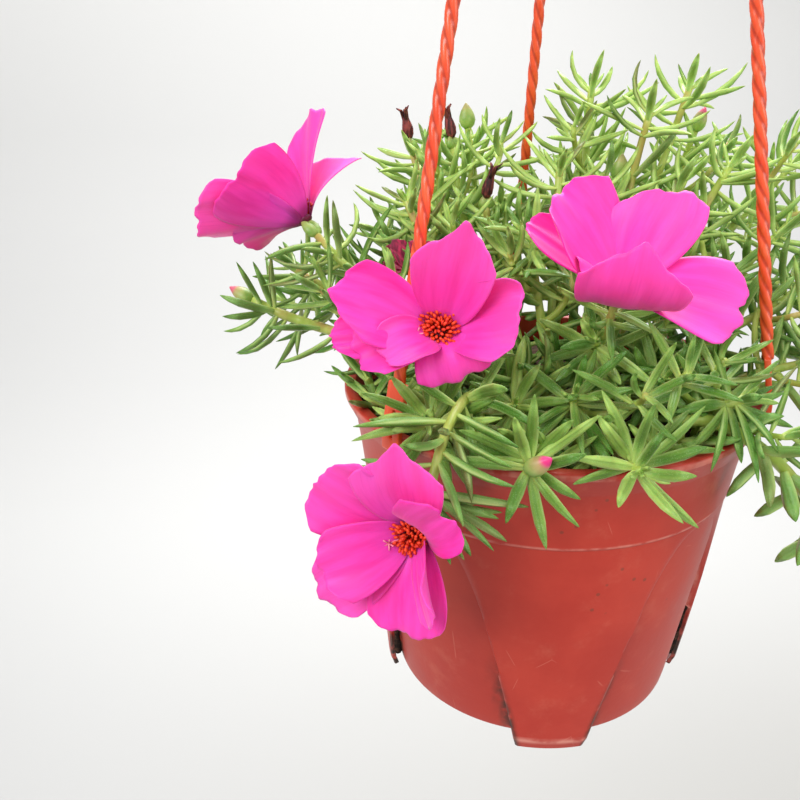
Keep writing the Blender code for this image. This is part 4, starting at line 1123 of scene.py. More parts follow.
def try_leaf(owner, root, way, turn, lean, size, width, curl):
    """A leaf that is added only where there is room for it."""
    side = way.orthogonal().normalized()
    for attempt in range(LEAF_SHIFTS):
        out = Matrix.Rotation(turn + growth.uniform(-0.2, 0.2) * attempt, 3, way) @ side
        tilt = math.radians(lean - 3.0 * attempt)
        long = size * (1.0 - 0.06 * attempt) * MM
        wide = width * BROADER.get(owner, 1.0) * MM
        leaf = Leaf(root, way, out, long, wide, tilt, tilt - math.radians(curl))
        balls, radius = leaf_balls(leaf)
        if room.least(owner, balls, radius * SQUEEZE) > TOUCH:
            room.add(owner, balls, radius * SQUEEZE)
            return [leaf]
    return []


def chosen(spans):
    """A lean, a length, a width and a curl, each drawn from its span."""
    return [growth.uniform(*span) for span in spans]


def young_crown(owner, stem):
    """Short upright leaves at the very tip, where a stem still grows."""
    found = []
    root, way = back_along(stem.route, 0.4 * MM)
    for k in range(4):
        lean, size = 14 + 11 * k, 4.6 + 1.7 * k
        found += try_leaf(owner, root, way, 1.0 + k * GOLDEN_TURN, lean, size, 1.5 + 0.2 * k, 8)
    return found


def fill_crown(owner, stem):
    """Full-length leaves that fill the gaps of the ring at a stem's tip."""
    found = []
    for k in range(RING_FILL * (3 if owner in OVER_LEFT_RIM else 1)):
        root, way = back_along(stem.route, growth.uniform(3.0, 8.0) * MM)
        found += try_leaf(owner, root, way, 0.6 + k * GOLDEN_TURN, *chosen(RING_LEAVES))
    return found


def more_stem_leaves(owner, stem):
    """Leaves along a stem: broad ones in front, slender ones curled upwards behind."""
    length = sum((b - a).length for a, b in zip(stem.route[1:], stem.route[2:])) / MM
    broad = owner in FRONT or owner in BROADER
    leaves_a_mm = CROWDED if owner in OVER_LEFT_RIM else FULL if broad else SPARSE
    count = int(length * leaves_a_mm)
    found = []
    for k in range(count):
        share = 0.24 + 0.7 * (k + growth.random()) / count
        root, way = frame_at(stem.route, min(share, 0.97))
        spans = BROAD_LEAVES if broad else SLENDER_LEAVES
        found += try_leaf(owner, root, way, k * GOLDEN_TURN, *chosen(spans))
    return found


print("open rosettes:", ", ".join(OPEN_ROSETTES))

# %% Find room for side shoots
SHOOT_TRIES = 9
SHOOTS_A_STEM = 3
SHOOT_APART = 13.0 * MM
SHOOT_LEAVES = 8
SHOOT_SPAN = (0.3, 0.8)
SHOOT_LENGTH = (15, 30)
LOW_TRIES = 300
LOW_APART = 10.5 * MM
SHOOT_ROOM = 1.1 * MM
SIDE_SHOOT_LEAVES = (2.9, 60)
LOW_SHOOT_LEAVES = (3.4, 20)


def try_shoot(owner, stem, tips):
    """A short side shoot, if its tip finds a free place in the plant."""
    for _ in range(SHOOT_TRIES):
        root, way = frame_at(stem.route, growth.uniform(*SHOOT_SPAN))
        turn = Matrix.Rotation(growth.uniform(0, 2 * math.pi), 3, way)
        out = turn @ way.orthogonal().normalized()
        heading = (way * growth.uniform(0.4, 1.0) + out + Vector((0, 0, 0.3))).normalized()
        size = growth.uniform(*SHOOT_LENGTH) * MM
        tip = root + heading * size
        if min((tip - other).length for other in tips) < SHOOT_APART:
            continue
        corners = (root, root + out * size * 0.35, tip - way * size * 0.25, tip)
        route = [root] + [bezier(corners, k / 5) for k in range(6)]
        line = [frame_at(route, 0.3 + 0.7 * k / 8)[0] for k in range(9)]
        if room.least(owner, line, SHOOT_ROOM) < TOUCH:
            continue
        room.add(owner, line, SHOOT_ROOM)
        return Stem(root, route, (route[-1] - route[-2]).normalized(), "crown")
    return None


def shoot_leaves(owner, shoot, wide, most_curl):
    """The leaves of a shoot, crowded towards its tip, by their width in mm and their curl."""
    found = []
    for k in range(SHOOT_LEAVES):
        inner = k / SHOOT_LEAVES
        root, way = back_along(shoot.route, ((SHOOT_LEAVES - k) * 1.5 - 0.8) * MM)
        lean = 88 - 56 * inner + growth.uniform(-8, 8)
        size = 24.0 - 12 * inner + growth.uniform(-3, 3)
        width, curl = wide - 0.6 * inner, growth.uniform(-16, most_curl)
        found += try_leaf(owner, root, way, k * GOLDEN_TURN, lean, size, width, curl)
    return found


def low_shoot(tips):
    """A leafy shoot out of the soil in front and the stem it belongs to, where there is room."""
    turn, out = growth.uniform(-1.9, 1.9), 12 + 50 * math.sqrt(growth.random())
    foot = at_rim(math.degrees(turn), out * MM, 0.0)
    foot.z = soil_height(foot.x, foot.y) - 2 * MM
    outward = at_rim(math.degrees(turn), 1.0, 0.0)
    height = growth.uniform(10, 17) + 0.22 * (62 - out)
    tip = foot + outward * growth.uniform(1, 7) * MM + Vector((0, 0, height * MM))
    if min((tip - other).length for other in tips) < LOW_APART:
        return None, None
    owner = min(stems, key=lambda name: (stems[name].foot - foot).length)
    corners = (foot, foot + Vector((0, 0, height * 0.5 * MM)), tip - outward * 2 * MM, tip)
    route = [foot] + [bezier(corners, k / 5) for k in range(6)]
    line = [frame_at(route, 0.45 + 0.55 * k / 6)[0] for k in range(7)]
    if room.least(owner, line, SHOOT_ROOM) < TOUCH:
        return None, None
    room.add(owner, line, SHOOT_ROOM)
    return owner, Stem(foot, route, (route[-1] - route[-2]).normalized(), "crown")


print("leaves on a side shoot:", SHOOT_LEAVES)

# %% Grow the extra leaves and shoots
extra = {}
shoots = {name: [] for name in stems}
for name, stem in stems.items():
    extra[name] = young_crown(name, stem) if stem.ending == "crown" else []
for name, stem in stems.items():
    extra[name] += fill_crown(name, stem) if name in FRONT else []
for name, stem in stems.items():
    extra[name] += more_stem_leaves(name, stem)
tips = [stem.route[-1] for stem in stems.values()]
for _ in range(SHOOTS_A_STEM):
    for name, stem in stems.items():
        if name in OPEN_ROSETTES or name in TRAILING or stem.ending == "bloom":
            continue
        shoot = try_shoot(name, stem, tips)
        if shoot:
            tips.append(shoot.route[-1])
            shoots[name].append(shoot)
            extra[name] += shoot_leaves(name, shoot, *SIDE_SHOOT_LEAVES)
for _ in range(LOW_TRIES):
    name, shoot = low_shoot(tips)
    if shoot:
        tips.append(shoot.route[-1])
        shoots[name].append(shoot)
        extra[name] += shoot_leaves(name, shoot, *LOW_SHOOT_LEAVES)
print("side shoots:", sum(len(found) for found in shoots.values()))
print("leaves added:", sum(len(found) for found in extra.values()))

# %% [markdown]
# A portulaca leaf is a small fleshy spindle: channelled above, keeled below, and pointed. One leaf
# is made as a template, a six-sided circle whose cap is pushed out in steps and scaled at each one.
# Every other leaf is a copy of it, bent along its own line. The template keeps each point's place
# along and across the leaf as an attribute, so that the colour follows the leaf however it bends.

# %% Leaf template
LEAF_OUTLINE = (
    (0.0, 0.38), (0.08, 0.62), (0.24, 0.9), (0.45, 1.0), (0.68, 0.91), (0.85, 0.64), (0.95, 0.33),
    (1.0, 0.06),
)


def push_cap(bm, cap):
    """Extrudes a face and returns the new face and its points."""
    pushed = bmesh.ops.extrude_face_region(bm, geom=[cap])["geom"]
    ring = [item for item in pushed if isinstance(item, bmesh.types.BMVert)]
    cap = next(item for item in pushed if isinstance(item, bmesh.types.BMFace))
    return cap, ring


def leaf_template():
    """A straight leaf, one unit long and two wide, along Z."""
    bm = bmesh.new()
    bmesh.ops.create_circle(bm, cap_ends=True, segments=6, radius=LEAF_OUTLINE[0][1])
    turn = Matrix.Rotation(math.pi / 6, 3, "Z")
    bmesh.ops.rotate(bm, cent=(0, 0, 0), matrix=turn, verts=bm.verts)
    bm.faces.ensure_lookup_table()
    cap = bm.faces[0]
    for (low, narrow), (high, wide) in zip(LEAF_OUTLINE, LEAF_OUTLINE[1:]):
        cap, ring = push_cap(bm, cap)
        bmesh.ops.translate(bm, verts=ring, vec=(0, 0, high - low))
        bmesh.ops.scale(bm, verts=ring, vec=(wide / narrow, wide / narrow, 1.0))
    bmesh.ops.recalc_face_normals(bm, faces=bm.faces)
    place = bm.verts.layers.float_vector.new("leaf_place")
    bm.verts.layers.float.new("leaf_age_and_light")
    for vert in bm.verts:
        in_channel = abs(vert.co.x) < 0.01 and vert.co.y > 0
        vert.co.y *= 0.08 if in_channel else 0.6 if vert.co.y > 0 else 0.9
        vert[place] = (vert.co.z, vert.co.x, vert.co.y)
    return to_mesh("leaf template", bm)


LEAF_TEMPLATE = leaf_template()
print("faces in a leaf:", len(LEAF_TEMPLATE.polygons))

# %% Bend a copy of the template
LINE_STEPS = 12


def grow_leaf(bm, leaf, age_and_light, twist, bow):
    """Adds a leaf to a shape, bent along its line, bowed aside and turned a little about itself."""
    bm.from_mesh(LEAF_TEMPLATE)
    bm.verts.ensure_lookup_table()
    age_and_light_layer = bm.verts.layers.float["leaf_age_and_light"]
    line = leaf_line(leaf, LINE_STEPS)
    across = leaf.axis.cross(leaf.out).normalized()
    thick = LEAF_THICKNESS * leaf.width / LEAF_WIDTH
    for vert in bm.verts[-len(LEAF_TEMPLATE.vertices):]:
        x, y, z = vert.co
        step = min(int(z * LINE_STEPS), LINE_STEPS - 1)
        centre = line[step].lerp(line[step + 1], z * LINE_STEPS - step)
        centre = centre + across * (leaf.length * bow * z * z)
        lean = leaf.lean_root + (leaf.lean_tip - leaf.lean_root) * z
        above = leaf.axis * math.sin(lean) - leaf.out * math.cos(lean)
        side = across * math.cos(twist * z) + above * math.sin(twist * z)
        lift = above * math.cos(twist * z) - across * math.sin(twist * z)
        swell = 1.0 + 0.07 * math.sin(8.0 * z + 9.0 * twist)
        vert.co = centre + side * (x * leaf.width / 2 * swell) + lift * (y * thick * swell)
        vert[age_and_light_layer] = age_and_light


print("a leaf bends along", LINE_STEPS, "steps")

# %% [markdown]
# Leaves are mid green, lighter and yellower when young, and tinged with brown where old or sunned.
# Leaves high in the plant are made lighter and yellower as well, which is painted light. Their root
# is paler, and their edges are paler too, partly their own colour and partly a painted highlight.
# The shallow channel along the middle is darkened with painted shade, and the skin is covered with
# tiny pale dots. The shader reads the leaf's own attributes for most of that, and a little
# subsurface light makes the flesh look moist.

# %% Leaf and stem finishes


def make_leaf_material():
    """Fleshy green, from old to young, and lighter high in the plant as painted light."""
    material, tree, shader = new_material(
        "portulaca leaf", Subsurface_Weight=0.14, Subsurface_Scale=1.0 * MM,
        Specular_IOR_Level=0.34,
    )
    age_and_light = painted(tree, "leaf_age_and_light")["Fac"]
    spot = painted(tree, "leaf_place")["Vector"]
    along, across, up = add_node(tree, "SeparateXYZ", {0: spot})
    aside = maths(tree, "ABSOLUTE", across)
    place = object_place(tree)
    # A high value means a young leaf, and on leaves high in the plant also painted light.
    young = between(tree, age_and_light, 0.45, 1.0)
    base = mixed(tree, young, screen(80, 128, 42), screen(184, 214, 110))
    cloud = between(tree, noise(tree, place, 130.0, 3.0), 0.3, 0.7)
    base = laid_over(tree, base, screen(140, 178, 76), cloud, 0.35)
    old = inverse(tree, between(tree, age_and_light, 0.0, 0.35))
    base = laid_over(tree, base, screen(132, 122, 74), old, 0.75)
    rootward = inverse(tree, between(tree, along, 0.0, 0.38))
    base = laid_over(tree, base, screen(204, 220, 118), rootward, 0.75)
    # The middle of the leaf along its channel is darkened: painted shade.
    middle = inverse(tree, between(tree, aside, 0.1, 0.55))
    base = laid_over(tree, base, screen(66, 118, 42), middle, 0.35)
    # The edges are paler: partly the leaf's own colour, partly a painted highlight.
    edge = between(tree, aside, 0.6, 0.94)
    base = laid_over(tree, base, screen(194, 220, 138), edge, 0.7)
    below = inverse(tree, between(tree, up, -0.45, -0.05))
    base = laid_over(tree, base, screen(140, 184, 104), below, 0.4)
    dots = add_node(tree, "TexVoronoi", {"Vector": place, "Scale": 2600.0})["Distance"]
    pale = inverse(tree, between(tree, dots, 0.12, 0.34))
    base = laid_over(tree, base, screen(206, 224, 160), pale, 0.34)
    tree.links.new(base, shader.inputs["Base Color"])
    gloss = add_node(tree, "MapRange", {0: cloud, 3: 0.38, 4: 0.55})[0]
    tree.links.new(gloss, shader.inputs["Roughness"])
    skin = maths(tree, "ADD", between(tree, aside, 0.0, 0.3), noise(tree, place, 700.0, 3.0))
    height = maths(tree, "ADD", maths(tree, "MULTIPLY", pale, 0.25), skin)
    bump(tree, shader, height, 0.5, 0.3 * MM)
    return material


def make_stem_material():
    """Yellow-green stems with a few reddened patches."""
    material, tree, shader = new_material(
        "portulaca stem", Roughness=0.42, Subsurface_Weight=0.1, Subsurface_Scale=1.0 * MM,
    )
    place = object_place(tree)
    streaks = noise(tree, object_place(tree, (1.0, 1.0, 0.2)), 320.0, 4.0)
    patch = between(tree, noise(tree, place, 42.0, 2.0), 0.5, 0.7)
    base = mixed(tree, patch, screen(158, 182, 76), screen(182, 156, 88))
    base = laid_over(tree, base, screen(190, 204, 108), between(tree, streaks, 0.4, 0.7), 0.7)
    tree.links.new(base, shader.inputs["Base Color"])
    bump(tree, shader, streaks, 0.4, 0.3 * MM)
    return material


leaf_green = make_leaf_material()
stem_green = make_stem_material()
print("made", leaf_green.name, "and", stem_green.name)

# %% [markdown]
# A stem is a round rod that follows its route, and swells a little where leaves leave it. It is
# made as a rod is bent by hand: a small circle is pushed out step by step, and each new ring is
# carried to its place by a matrix. A smooth curve through the route's points rounds its bends.

# %% Rods along a route


def smooth_route(route, parts):
    """Points of a smooth curve through a route, with some parts to each of its steps."""
    ends = [route[0] * 2 - route[1], *route, route[-1] * 2 - route[-2]]
    found = []
    for a, b, c, d in zip(ends, ends[1:], ends[2:], ends[3:]):
        for k in range(parts):
            t = k / parts
            found.append(0.5 * (
                b * 2 + (c - a) * t + (a * 2 - b * 5 + c * 4 - d) * t ** 2
                + (b * 3 - a - c * 3 + d) * t ** 3
            ))
    return found + [route[-1].copy()]


def rod_frames(route, radii):
    """A matrix for each point of a route, sized by the rod's radius there."""
    ways = [route[1] - route[0]]
    ways += [after - before for before, after in zip(route, route[2:])]
    ways.append(route[-1] - route[-2])
    side = ways[0].orthogonal().normalized()
    frames = []
    for point, way, radius in zip(route, ways, radii):
        way = way.normalized()
        side = (side - way * side.dot(way)).normalized()
        turn = Matrix((side, way.cross(side), way)).transposed().to_4x4()
        sized = Matrix.Diagonal((radius, radius, radius, 1))
        frames.append(Matrix.Translation(point) @ turn @ sized)
    return frames


def add_rod(bm, route, radii, sides, material_index=0):
    """Adds a closed rod to a shape."""
    frames = rod_frames(route, radii)
    ring = bmesh.ops.create_circle(bm, cap_ends=True, segments=sides, radius=1.0)["verts"]
    cap = ring[0].link_faces[0]
    made = [cap]
    bmesh.ops.transform(bm, matrix=frames[0], verts=ring)
    for before, after in zip(frames, frames[1:]):
        cap, ring = push_cap(bm, cap)
        bmesh.ops.transform(bm, matrix=after @ before.inverted(), verts=ring)
        made += [face for vert in ring for face in vert.link_faces]
    faces = list(set(made))
    for face in faces:
        face.material_index = material_index
    bmesh.ops.recalc_face_normals(bm, faces=faces)
    return faces


print("a rod's ring is carried by one matrix to the next")

# %% Build every leafy stem
TINTS = {"rim_rosette": 0.85, "left_rim": 0.8, "front_low": 0.75, "star": 0.6, "rim_whorl": 0.7}
PLAIN_TINT = 0.5
OLD_LEAVES = 0.12
SHORTENED = 0.45
TRUE_LENGTH = (1.06, 1.24)
SLENDER_LENGTH = (1.12, 1.3)
SLENDER_WIDTH = (0.85, 1.1)
FRONT_CURL = (-26, 28)
BACK_CURL = (-20, 66)
STEM_SIDES = 9
SHOOT_SIDES = 7
STEM_FINISH = 1


def stem_radii(count, thickness):
    """A stem's radius at each point: it narrows towards its tip and swells a little at leaves."""
    return [thickness * (1.28 - 0.38 * k / (count - 1) + 0.07 * (k % 3 == 0)) for k in range(count)]


def leaf_age_and_light(name, leaf, young, colour):
    """How young a leaf looks, with painted light on high leaves: 0 is old and brown, 1 fresh yellow
    green.
    """
    # Leaves higher in the plant get a higher value, lighter and yellower: painted light on the
    # upper leaves.
    height = smooth(leaf.root.z, 15 * MM, 75 * MM)
    age_and_light = TINTS.get(name, PLAIN_TINT) + 0.25 * young + 0.6 * height
    age_and_light += colour.uniform(-0.22, 0.22)
    if colour.random() < OLD_LEAVES:
        age_and_light = colour.uniform(0.0, 0.3)
    return age_and_light


def clear_of_pot(leaf, least):
    """Whether a leaf's outer part keeps a distance from the pot and the soil."""
    return min(room_by_pot(point) for point in leaf_line(leaf, LEAF_BALLS)[2:]) > least


def freshen(name, leaf, chance):
    """One of the model's own leaves with its own length, width and curl, where there is room."""
    root, axis, out, length, width, lean_root, lean_tip = leaf
    if name in BROADER:
        width = width * BROADER[name]
    elif name not in OPEN_ROSETTES:
        width = width * SLENDER * chance.uniform(*SLENDER_WIDTH)
        length = length * chance.uniform(*SLENDER_LENGTH)
    curl = math.radians(chance.uniform(*(FRONT_CURL if name in FRONT else BACK_CURL)))
    length = length * chance.uniform(*TRUE_LENGTH)
    fresh = Leaf(root, axis, out, length, width, lean_root + curl * 0.4, lean_tip - curl)
    short = leaf._replace(length=leaf.length * SHORTENED)
    for option in (fresh, leaf, short):
        if clear_of_pot(option, 1.0 * MM) and clear_of_petals(option):
            return option
    return short


def build_stem(name):
    """A stem, its side shoots and all their leaves, as one shape."""
    colour = random.Random("colour of " + name)
    bm = bmesh.new()
    bm.verts.layers.float_vector.new("leaf_place")
    bm.verts.layers.float.new("leaf_age_and_light")
    stem = stems[name]
    route = smooth_route(stem.route, 3)
    thickness = STEM_RADIUS * (1.3 if name in TRAILING else 1.0)
    add_rod(bm, route, stem_radii(len(route), thickness), STEM_SIDES, STEM_FINISH)
    for shoot in shoots[name]:
        route = smooth_route(shoot.route[1:], 2)
        radii = [(1.15 - 0.3 * k / len(route)) * MM for k in range(len(route))]
        add_rod(bm, route, radii, SHOOT_SIDES, STEM_FINISH)
    own_leaves = [freshen(name, leaf, colour) for leaf in leaves[name]]
    for leaf in own_leaves + extra[name]:
        young = 1.0 if leaf.length < 12 * MM else 0.0
        age_and_light = leaf_age_and_light(name, leaf, young, colour)
        twist, bow = colour.uniform(-0.5, 0.5), colour.uniform(-0.16, 0.16)
        grow_leaf(bm, leaf, age_and_light, twist, bow if clear_of_pot(leaf, 4.0 * MM) else 0.0)
    return bm


for name in stems:
    form = build_stem(name)
    add_piece("leafy_stem_" + name, form, [leaf_green, stem_green], "leaves", "stem_" + name)
print("leafy stems:", len(stems))

# %% [markdown]
# Old soil has caked behind the edges of the pot's legs, where it shows as nearly black lines, and
# the dark colour of the rods below also stands for the shade in these gaps, as painted shade. It is
# darker than the soil in the pot, so it has a finish of its own. Now that rods can be made, a lumpy
# one along each edge fills the gap between the leg and the cup.

# %% Dirt behind the legs' edges


def make_cake_and_shade_material():
    """Nearly black old soil and painted shade, a little lighter where it is dry."""
    material, tree, shader = new_material("caked soil and painted shade", Roughness=0.9, Specular_IOR_Level=0.2)
    dry = between(tree, noise(tree, object_place(tree), 500.0, 4.0), 0.45, 0.75)
    base = mixed(tree, dry, screen(30, 22, 18), screen(84, 60, 46))
    tree.links.new(base, shader.inputs["Base Color"])
    return material


CAKE_SEED = 11
CAKE_STEPS = 14
CAKE_INSET = math.radians(1.3)


def cake_and_shade_edge(bm, turn, side, chance):
    """A lumpy rod of soil and painted shade behind one edge of a leg."""
    route, radii = [], []
    for k in range(CAKE_STEPS):
        depth = SLOT_TOP + (2.1 * k - 2.0) * MM
        gap = leg_radius(depth) - LEG_WALL - body_radius(depth)
        angle = turn + side * (leg_half_width(depth) - CAKE_INSET)
        route.append(at_rim(math.degrees(angle), body_radius(depth) + gap / 2, -depth))
        radii.append(gap / 2 + chance.uniform(0.1, 0.5) * MM)
    add_rod(bm, route, radii, 8)


caked = bmesh.new()
crumbling = random.Random(CAKE_SEED)
for k in range(LEGS):
    for side in (-1, 1):
        cake_and_shade_edge(caked, 2 * math.pi * k / LEGS, side, crumbling)
add_piece("caked_dirt_and_shade", caked, [make_cake_and_shade_material()], "potting_soil")
print("edges with dirt:", 2 * LEGS)

# %% [markdown]
# The petals are a vivid magenta with very fine veins that fan out from the throat, where the colour
# turns to lilac and then to a dark purple; both are partly the petals' own colour and partly
# painted shade deep in the cup. Some petals of a bloom are paler than others. The shader finds its
# place on the petal from an attribute that the mesh will carry, and a little subsurface light makes
# the thin petals glow.

# %% Petal finish


def make_petal_material():
    """Vivid magenta with fine veins, turning pale and then dark purple by the throat, with painted
    shade there.
    """
    material, tree, shader = new_material(
        "magenta petal", Roughness=0.5, Subsurface_Weight=0.2, Subsurface_Scale=1.5 * MM,
        Sheen_Weight=0.15, Sheen_Roughness=0.4, Specular_IOR_Level=0.3,
    )
    spot = painted(tree, "petal_place")["Vector"]
    along, across, seed = add_node(tree, "SeparateXYZ", {0: spot})
    drawn_in = maths(tree, "MULTIPLY", along, 1.6)
    fan = add_node(tree, "CombineXYZ", {0: drawn_in, 1: across, 2: seed})[0]
    narrow = add_node(tree, "Mapping", {"Vector": fan, "Scale": (1.0, 16.0, 1.0)})[0]
    veins = noise(tree, narrow, 1.6, 4.0, 0.6)
    wide = add_node(tree, "Mapping", {"Vector": fan, "Scale": (1.0, 4.0, 1.0)})[0]
    bands = between(tree, noise(tree, wide, 1.2, 2.0), 0.3, 0.7)
    base = mixed(tree, bands, screen(236, 40, 156), screen(250, 58, 178))
    own = maths(tree, "FRACT", maths(tree, "MULTIPLY", seed, 0.618))
    own = maths(tree, "MULTIPLY", own, 0.5)
    outer = maths(tree, "MULTIPLY", own, between(tree, along, 0.25, 0.95))
    base = mixed(tree, outer, base, screen(255, 102, 198))
    base = laid_over(tree, base, screen(206, 24, 138), between(tree, veins, 0.5, 0.75), 0.2)
    # By the throat the colour turns lilac and then dark purple: partly the petals' own colour,
    # partly painted shade deep in the cup.
    lilac_and_shade = inverse(tree, between(tree, along, 0.12, 0.62))
    base = laid_over(tree, base, screen(212, 76, 184), lilac_and_shade, 0.55)
    throat = inverse(tree, between(tree, along, 0.04, 0.22))
    base = laid_over(tree, base, screen(126, 12, 84), throat, 0.85)
    tree.links.new(base, shader.inputs["Base Color"])
    bump(tree, shader, veins, 0.16, 0.3 * MM)
    return material


magenta = make_petal_material()
print("made", magenta.name)

# %% [markdown]
# A real petal is as thin as paper, and the wall here is 0.3 mm. Each petal is a flat grid whose
# points are moved onto its surface, then lifted by soft folds and fine ruffles. Last it gets its
# wall. Each point keeps its place on the petal as an attribute, so that the veins can fan out from
# the throat.

# %% Build the petals
PETAL_SEGMENTS = 30
PETAL_WALL = 0.3 * MM


def ruffle(along, across, seed):
    """How far a point of a petal is lifted by its soft folds and its waved edge, in metres."""
    wave = math.sin(4.0 * across + seed) + 0.35 * math.sin(11.0 * across + 2.3 * seed)
    edge = 0.6 * along ** 5 * wave
    flutter = 0.7 * abs(across) ** 3 * along * math.sin(5.0 * along + 1.7 * seed)
    fold = 1.3 * along * (1.0 - along) * math.sin(3.0 * across - seed)
    pleats = 0.22 * along * (1.2 - along) * math.sin(13.0 * across + 3.0 * along + seed)
    return (edge + flutter + fold + pleats) * MM


def add_petal(bm, petal, seed, layer):
    """Adds one thin petal to a shape, in its bloom's space."""
    sheet = bmesh.ops.create_grid(
        bm, x_segments=PETAL_SEGMENTS, y_segments=PETAL_SEGMENTS, size=0.5
    )["verts"]
    for vert in sheet:
        along, across = vert.co.x + 0.5, 2.0 * vert.co.y
        vert[layer] = (along, across, seed)
        vert.co = fine_petal_point(petal, along, across)
    faces = list({face for vert in sheet for face in vert.link_faces})
    bm.normal_update()
    lifts = [vert.normal * ruffle(vert[layer][0], vert[layer][1], seed) for vert in sheet]
    for vert, lift in zip(sheet, lifts):
        vert.co += lift
    bmesh.ops.solidify(bm, geom=faces, thickness=PETAL_WALL)


def build_petals(name):
    """All petals of a bloom."""
    bm = bmesh.new()
    layer = bm.verts.layers.float_vector.new("petal_place")
    for k, petal in enumerate(FINE_PETALS[name]):
        add_petal(bm, petal, 1.3 * k + len(name), layer)
    bmesh.ops.transform(bm, matrix=bloom_frame(BLOOMS[name]), verts=bm.verts)
    return bm


for name in BLOOMS:
    form = build_petals(name)
    add_piece("bloom_petals_" + name, form, [magenta], "magenta_petals", "petals_" + name)
print("blooms with petals:", len(BLOOMS))

# %% [markdown]
# A tuft of fine stamens fills the throat: orange-red threads, each with a tiny anther, round a pale
# star of a stigma. They stand on a dark magenta disc. A thread is a short bent rod and its anther a
# longish ball, and the golden angle spreads them evenly over the disc.

# %% Stamens
STAMEN_COUNT = 78
THREAD_RADII = [0.17 * MM, 0.15 * MM, 0.13 * MM]
ANTHER_RADIUS = 0.6 * MM
STIGMA_TOP = Vector((-5.6 * MM, -2.4 * MM, 6.6 * MM))
STIGMA_ARMS = 5
THREAD_FINISH, DISC_FINISH, STIGMA_FINISH = 0, 1, 2


def make_thread_material(name, colour, shade):
    """Small parts with a slight unevenness of colour."""
    material, tree, shader = new_material(
        name, Roughness=0.55, Subsurface_Weight=0.1, Subsurface_Scale=0.5 * MM,
    )
    cloud = between(tree, noise(tree, object_place(tree), 900.0, 2.0), 0.35, 0.65)
    tree.links.new(mixed(tree, cloud, colour, shade), shader.inputs["Base Color"])
    bump(tree, shader, cloud, 0.3, 0.1 * MM)
    return material


stamen_red = make_thread_material("stamen red", screen(238, 76, 24), screen(214, 44, 22))
throat_purple = make_thread_material("throat purple", screen(122, 10, 70), screen(84, 6, 46))
stigma_pink = make_thread_material("stigma pink", screen(248, 150, 170), screen(226, 110, 150))


def add_stamen(bm, lean, turn, size, bend):
    """A thread with its anther."""
    way = Vector((math.sin(lean) * math.cos(turn), math.sin(lean) * math.sin(turn), math.cos(lean)))
    root = Vector((way.x * 2.4, way.y * 2.4, 1.6)) * MM
    middle = root + way * size * 0.5 * MM
    tip = middle + (way + Vector((0, 0, bend))).normalized() * size * 0.5 * MM
    add_rod(bm, [root, middle, tip], THREAD_RADII, 4, THREAD_FINISH)
    ball = bmesh.ops.create_icosphere(bm, subdivisions=1, radius=ANTHER_RADIUS)["verts"]
    bmesh.ops.scale(bm, vec=(0.8, 0.8, 1.3 + bend * 0.4), verts=ball)
    tilt = Matrix.Rotation(lean + bend * 2, 3, (-way.y, way.x, 0.2))
    bmesh.ops.rotate(bm, cent=(0, 0, 0), matrix=tilt, verts=ball)
    bmesh.ops.translate(bm, vec=tip, verts=ball)


def build_stamens(name):
    """The disc, the threads and the stigma of one bloom."""
    chance = random.Random("stamens of " + name)
    bm = bmesh.new()
    disc = bmesh.ops.create_uvsphere(bm, u_segments=20, v_segments=10, radius=2.6 * MM)["verts"]
    bmesh.ops.scale(bm, vec=(1.0, 1.0, 0.45), verts=disc)
    bmesh.ops.translate(bm, vec=(0, 0, 1.1 * MM), verts=disc)
    for face in bm.faces:
        face.material_index = DISC_FINISH
    for k in range(STAMEN_COUNT):
        lean = math.radians(3 + 45 * math.sqrt(k / STAMEN_COUNT) + chance.uniform(-3, 3))
        size = chance.uniform(3.6, 6.2)
        add_stamen(bm, lean, k * GOLDEN_TURN, size, chance.uniform(0.1, 0.6))
    foot = Vector((0, 0, 1.6 * MM))
    add_rod(bm, [foot, STIGMA_TOP], [0.3 * MM, 0.25 * MM], 5, STIGMA_FINISH)
    for k in range(STIGMA_ARMS):
        turn = 2 * math.pi * k / STIGMA_ARMS
        out = Vector((math.cos(turn), math.sin(turn), 0.5)) * 1.7 * MM
        arm = [STIGMA_TOP, STIGMA_TOP + out * 0.6, STIGMA_TOP + out]
        add_rod(bm, arm, [0.26 * MM, 0.26 * MM, 0.2 * MM], 4, STIGMA_FINISH)
    bmesh.ops.transform(bm, matrix=bloom_frame(BLOOMS[name]), verts=bm.verts)
    return bm


for name in BLOOMS:
    add_piece(
        "bloom_stamens_" + name, build_stamens(name), [stamen_red, throat_purple, stigma_pink],
        "stamens", "stamens_" + name,
    )
print("stamens in a bloom:", STAMEN_COUNT)

# %% [markdown]
# The three strands of the hanger are glossy orange plastic twisted from three plies, so their
# outline is a soft trefoil. Spinning that outline about the strand's own line, while moving it
# along, winds it into the twist. The straight screw is then stood on its line.

# %% Orange plastic


